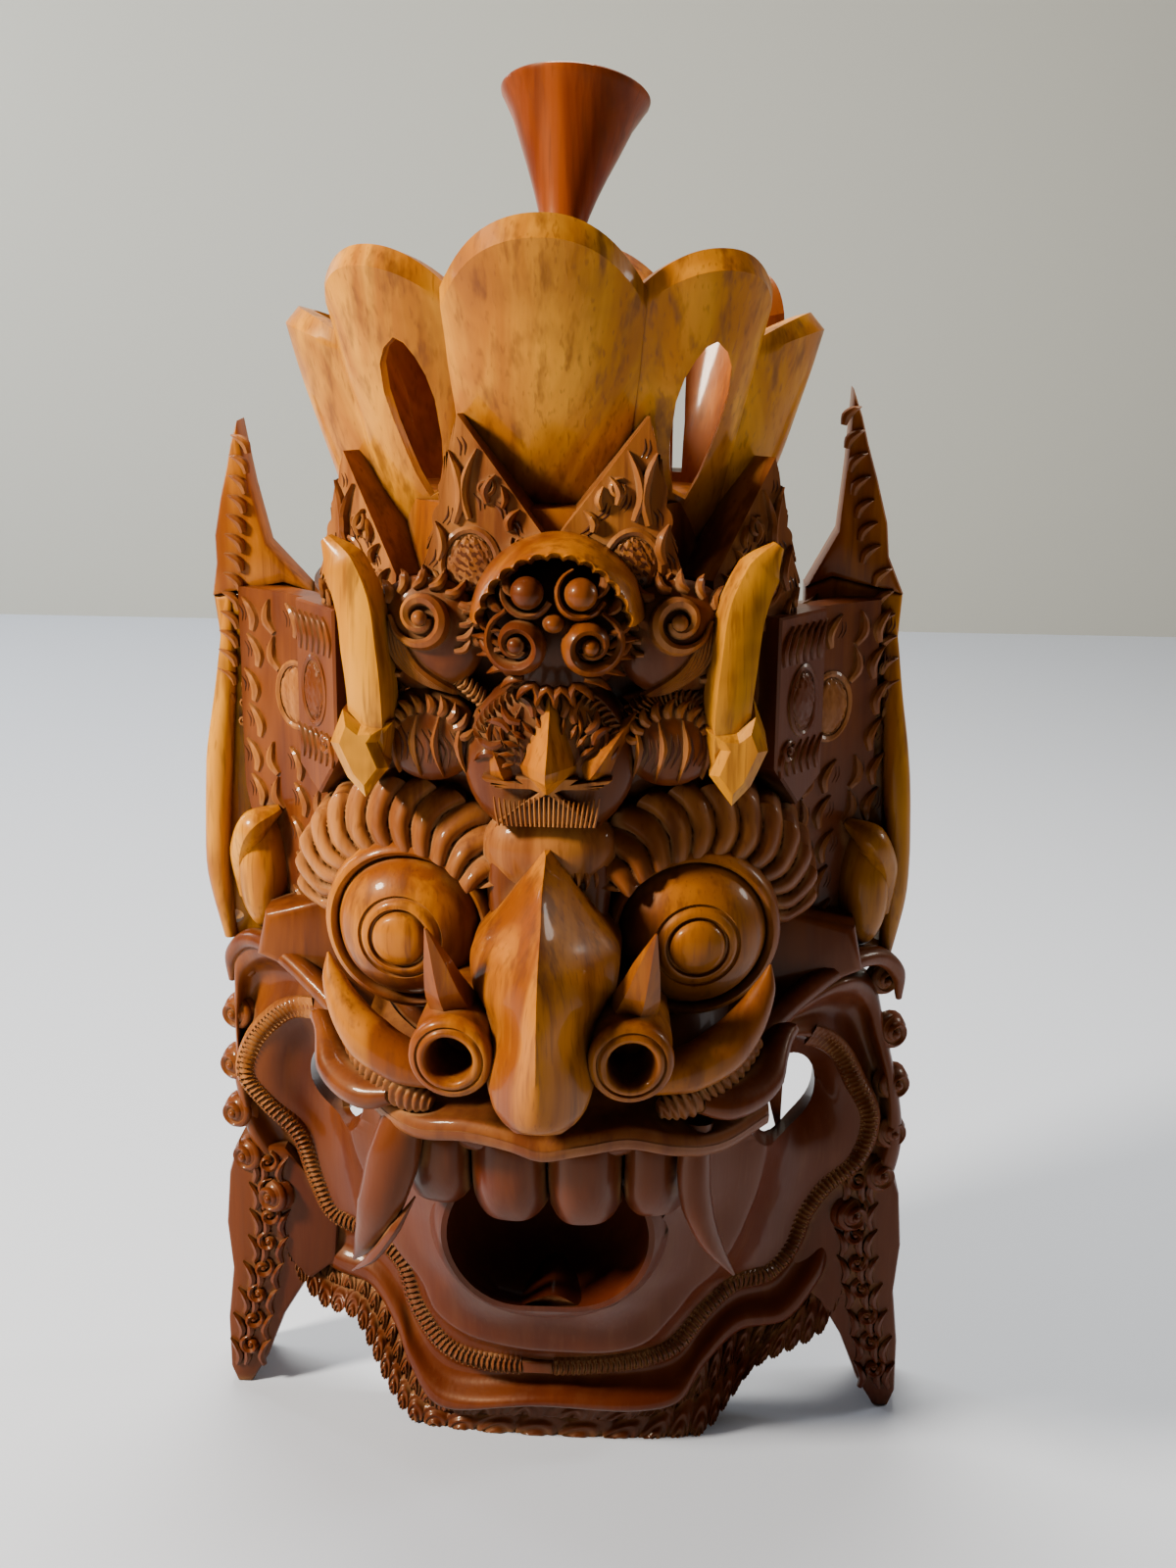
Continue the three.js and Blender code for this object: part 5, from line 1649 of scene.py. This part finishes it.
@dataclass
class Ears:
    """The ears, the spires over them and the wing tips that the mask stands on."""

    edge: tuple = (
        (-96, 250), (-112, 240), (-130, 229), (-144, 225), (-151, 229), (-154, 242), (-155, 270), (-154, 300), (-151, 328),
        (-148, 346), (-149, 364), (-151, 382), (-149, 396), (-149, 408), (-146, 424), (-143, 436), (-141, 446), (-138, 456),
        (-133, 430), (-127, 405), (-120, 388), (-108, 384), (-108, 300),
    )
    foot_edge: tuple = (
        (-128, 124), (-150, 126), (-155, 110), (-157, 84), (-155, 60), (-158, 34), (-158, 8), (-155, 0), (-148, 0), (-140, 14),
        (-131, 37), (-121, 54), (-106, 66), (-104, 92),
    )
    foot_back: float = 38
    right_share: float = 0.955

    def width(self, side: int) -> float:
        """The right ear is cut a little narrower than the left one."""
        return self.right_share if side > 0 else 1.0

    def edge_point(self, side: int, x: float, z: float) -> Flat:
        """A point of the left ear's outline, or its place on the right ear, whose spire is taller and leans in."""
        if side < 0:
            return x, z
        up = max(z - 340, 0)
        return -x * self.right_share - 0.118 * up * (1 if z > 390 else 0.35), z + 0.145 * up

    def build(self, shop: Workshop) -> None:
        """Ears, spires, panels and feet."""
        ears = Carving("ears")
        spires = Carving("spires")
        panels = Carving("ear_panels")
        carvings = Carving("wing_ornament")
        gouge_shadows = Carving("wing_gouge_shadows")
        for side in SIDES:
            outline = [self.edge_point(side, x, z) for x, z in self.edge]
            low = [spot for spot, (_, z) in zip(outline, self.edge) if z < 393]
            ear = Carving("ear")
            ear.board(low, 2, 18, bevel=3, rounds=3)
            hole = [(side * 147 * self.width(side) + 4.2 * math.cos(math.tau * step / 14), 237 + 3.2 * math.sin(math.tau * step / 14))
                    for step in range(14)]
            twin = [(x + 5.5 * side, z + 2.5) for x, z in hole]
            ear.cut([hole], -20, 60)
            ear.cut([twin], -20, 60)
            ears.take(ear.wood)
            spires.board([spot for spot, (_, z) in zip(outline, self.edge) if z > 380], 0.5, 17, bevel=2.5, rounds=2)
            ears.ball(at(side * 130, -7, 262), (11.5, 13, 27), 28, 20, side * 0.5)
            ears.limb(sided(side, [(122, -12, 292), (132, -16, 286), (139, -10, 272), (141, -4, 250)]), (2, 7, 6, 2), (3, 8, 7, 3), 10, 20)
            scale = self.width(side)
            ears.limb(sided(side, [(149 * scale, 2, 228), (152 * scale, -2, 262), (150 * scale, -1, 310), (146 * scale, 2, 350), (144 * scale, 4, 384)]),
                      (3, 5.5, 6, 4.5, 2), (3, 6, 6, 4, 2), 12, 30)

            def surface(x: float, z: float) -> Vector:
                return at(x, mix(-34, -2, clamp((abs(x) - 97) / 40) ** 0.7), z)

            def place(u: float, v: float, w: float) -> Vector:
                height = mix(236, 387, v)
                reach = mix(97, mix(122, 139 * self.width(side), ease(v, 0, 0.5)), u)
                return surface(side * reach, height - 8 * u * (1 - v)) + at(0, 14 * w, 0)

            panels.slab(20, 40, place)
            ground = Face(surface)
            carvings.hatch(ground, (side * 112, 344), (9, 14), 1.4)
            for row in range(9):
                z = mix(252, 376, row / 8)
                for column in range(4):
                    x = mix(101, 133, column / 3) - 2 * (row % 2)
                    if math.hypot((x - 112) / 13, (z - 344) / 19) > 1 and x < mix(120, 138, ease(z, 240, 310)):
                        carvings.flame(ground, (side * x, z - 7), (side * (x + 3), z + 7), side * (0.7 if column % 2 else -0.7), 2.6, 2.4)
                        gouge_shadows.gouges(ground, [(side * (x + 4.5), z, side * 0.2)], 7, 0.5)
            for step in range(15):
                x, z = self.edge_point(side, -mix(148, 137, step / 14), mix(330, 446, step / 14))
                flat = board_face(0)
                carvings.flame(flat, (x - side * 4, z - 3), (x + side * 2.4, z + 5), side * 0.7, 2.2, 2.6)
                if step < 5:
                    carvings.scroll(flat, (x - side * 9, z - 2), 3.0, 1.1, 0.2, side, 1.0, 1.8)
                    gouge_shadows.stroke(flat, [(x - side * 14, z), (x - side * 19, z + 0.5)], (0.7, 0.7, 0.7), 0.8, 5, 3)
        shop.set_down(ears, Finish.GOLD, crease=40)
        shop.set_down(spires, Finish.HONEY, crease=40)
        shop.set_down(panels, Finish.BROWN)
        shop.set_down(carvings, Finish.DUSTY)
        shop.set_down(gouge_shadows, Finish.GOUGE_SHADOW)
        self.feet(shop)

    def feet(self, shop: Workshop) -> None:
        """The wing tips under the ears."""
        feet = Carving("wing_tips")
        for side in SIDES:
            feet.board([(side * -x, z) for x, z in self.foot_edge], 2, self.foot_back - 2, bevel=2, rounds=2)
            ground = board_face(2)
            for row in range(8):
                z = mix(18, 114, row / 7)
                centre = mix(150, 138, ease(z, 10, 90))
                feet.scroll(ground, (side * (centre - 2), z + 3), 5.2, 1.2, 0.2, side * (1 if row % 2 else -1), 1.9, 3.4)
                for shift, bend in ((5, 0.7), (-8, -0.7), (1, 0.5)):
                    feet.flame(ground, (side * (centre + shift), z - 8), (side * (centre + shift * 1.3), z + 6), side * bend, 2.2, 3.0)
        shop.set_down(feet, Finish.BROWN)


# ---------------------------------------------------------------- finial

@dataclass
class Finial:
    """The turned trumpet planted in the crown."""

    place: Point = (-11, -27, 424)
    stem: float = 8
    rim: float = 31
    neck: float = 118
    height: float = 175
    lean_back: float = 0.36
    lean_right: float = 0.075

    def build(self, shop: Workshop) -> None:
        """The trumpet, leaning back a little."""
        carving = Carving("trumpet_finial")
        bell = self.height - self.neck
        profile = [
            (0, 0), (self.stem - 0.4, 0), (self.stem, 0.8), (self.stem, self.neck - 25), (self.stem + 0.3, self.neck - 10),
            (self.stem + 1, self.neck), (10.6, self.neck + 0.12 * bell), (13.2, self.neck + 0.26 * bell),
            (16.5, self.neck + 0.42 * bell), (20.6, self.neck + 0.6 * bell), (25, self.neck + 0.8 * bell),
            (self.rim - 1.4, self.height - 3), (self.rim - 0.3, self.height - 1.2), (self.rim, self.height),
            (self.rim - 0.6, self.height + 0.7), (self.rim - 2, self.height + 0.6), (self.rim - 4, self.height - 0.6),
            (14, self.height - 1.6), (0, self.height - 2),
        ]
        lean = Matrix.Rotation(self.lean_right, 3, "Y") @ Matrix.Rotation(-self.lean_back, 3, "X")
        carving.turned(profile, 72, at(*self.place), lean @ at(0, 0, 1))
        shop.set_down(carving, Finish.RED, "finial", crease=50, waver=0.2)


# ---------------------------------------------------------------- studio

@dataclass
class Studio:
    """The floor, the soft lights and the camera."""

    eye: Point = (0.05276, -0.68057, 0.540)
    across: Point = (0.99855, 0.05297, 0.00927)
    down: Point = (0.02339, -0.27258, -0.96185)
    ahead: Point = (-0.04843, 0.96068, -0.27342)
    lens: float = 45.92

    def build(self) -> None:
        """Sets the stage."""
        self.camera()
        self.floor()
        self.lights()

    def camera(self) -> None:
        """A camera a little above the mask's face, looking down at it."""
        low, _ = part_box("mask")
        data = bpy.data.cameras.new("camera")
        data.lens, data.sensor_width, data.sensor_fit = self.lens, 36, "AUTO"
        data.clip_start = 0.01
        camera = bpy.data.objects.new("camera", data)
        turn = Matrix((self.across, -Vector(self.down), -Vector(self.ahead))).transposed()
        camera.matrix_world = Matrix.Translation((self.eye[0], self.eye[1] + low[1], self.eye[2])) @ turn.to_4x4()
        bpy.context.scene.collection.objects.link(camera)
        bpy.context.scene.camera = camera

    @staticmethod
    def plain(name: str, colour: Colour, rough: float) -> bpy.types.Material:
        """A plain matt surface."""
        bench = Bench(name)
        shader = bench.node("ShaderNodeBsdfPrincipled", {}, {"Base Color": (*colour, 1), "Roughness": rough})
        bench.node("ShaderNodeOutputMaterial", {}, {"Surface": shader})
        return bench.material

    def floor(self) -> None:
        """A plain pale floor that runs up into a pale wall far behind."""
        shape = bmesh.new()
        bmesh.ops.create_grid(shape, x_segments=1, y_segments=1, size=3)
        mesh = bpy.data.meshes.new("floor")
        shape.to_mesh(mesh)
        shape.free()
        mesh.materials.append(self.plain("pale_floor", (0.62, 0.70, 0.86), 0.7))
        floor = bpy.data.objects.new("floor", mesh)
        shape = bmesh.new()
        bmesh.ops.create_grid(shape, x_segments=1, y_segments=1, size=4)
        turn = Matrix.Translation((0, 1.9, 0)) @ Matrix.Rotation(math.pi / 2, 4, "X")
        bmesh.ops.transform(shape, matrix=turn, verts=shape.verts)
        back = bpy.data.meshes.new("backdrop")
        shape.to_mesh(back)
        shape.free()
        back.materials.append(self.plain("grey_wall", (0.42, 0.44, 0.42), 0.9))
        backdrop = bpy.data.objects.new("backdrop", back)
        for item in (floor, backdrop):
            bpy.context.scene.collection.objects.link(item)

    def lights(self) -> None:
        """A broad key light from the upper left, a weak fill and a rim light from the right."""
        world = bpy.data.worlds.new("studio")
        world.use_nodes = True
        world.node_tree.nodes["Background"].inputs[0].default_value = (0.6, 0.5, 0.4, 1)
        world.node_tree.nodes["Background"].inputs[1].default_value = 0.07
        bpy.context.scene.world = world
        for name, place, goal, size, power, tint in (
            ("key", (-1.4, -0.7, 1.25), (0, 0, 0.36), 0.32, 84, (1, 0.86, 0.68)),
            ("rim", (1.2, 0.35, 0.75), (0.1, 0, 0.3), 0.3, 5, (1, 0.95, 0.88)),
            ("top", (-0.1, 0.6, 1.7), (0, 0.1, 0.0), 0.9, 34, (1, 0.9, 0.74)),
            ("wall", (-1.6, 1.1, 0.9), (-0.3, 1.9, 0.8), 0.6, 18, (1, 1, 1)),
        ):
            lamp = bpy.data.lights.new(name, "AREA")
            lamp.shape, lamp.size, lamp.energy, lamp.color = "DISK", size, power, tint
            light = bpy.data.objects.new(name, lamp)
            light.location = place
            light.rotation_euler = (Vector(goal) - Vector(place)).to_track_quat("-Z", "Y").to_euler()
            bpy.context.scene.collection.objects.link(light)


# ---------------------------------------------------------------- assembly


def main() -> None:
    """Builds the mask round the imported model."""
    logging.basicConfig(level=logging.INFO, format="%(name)s %(message)s")
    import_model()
    noise.seed_set(WAVER_SEED)
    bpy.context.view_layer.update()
    Studio().build()
    shop = Workshop(Ground.of_frame())
    for part in (Head(), Crown(), Leaves(), Band(), Horns(), Eyes(), Nose(), Mouth(), Flange(), Beard(), Ears(), Finial()):
        log.info("building the %s", type(part).__name__.lower())
        part.build(shop)


if __name__ == "__main__":
    main()
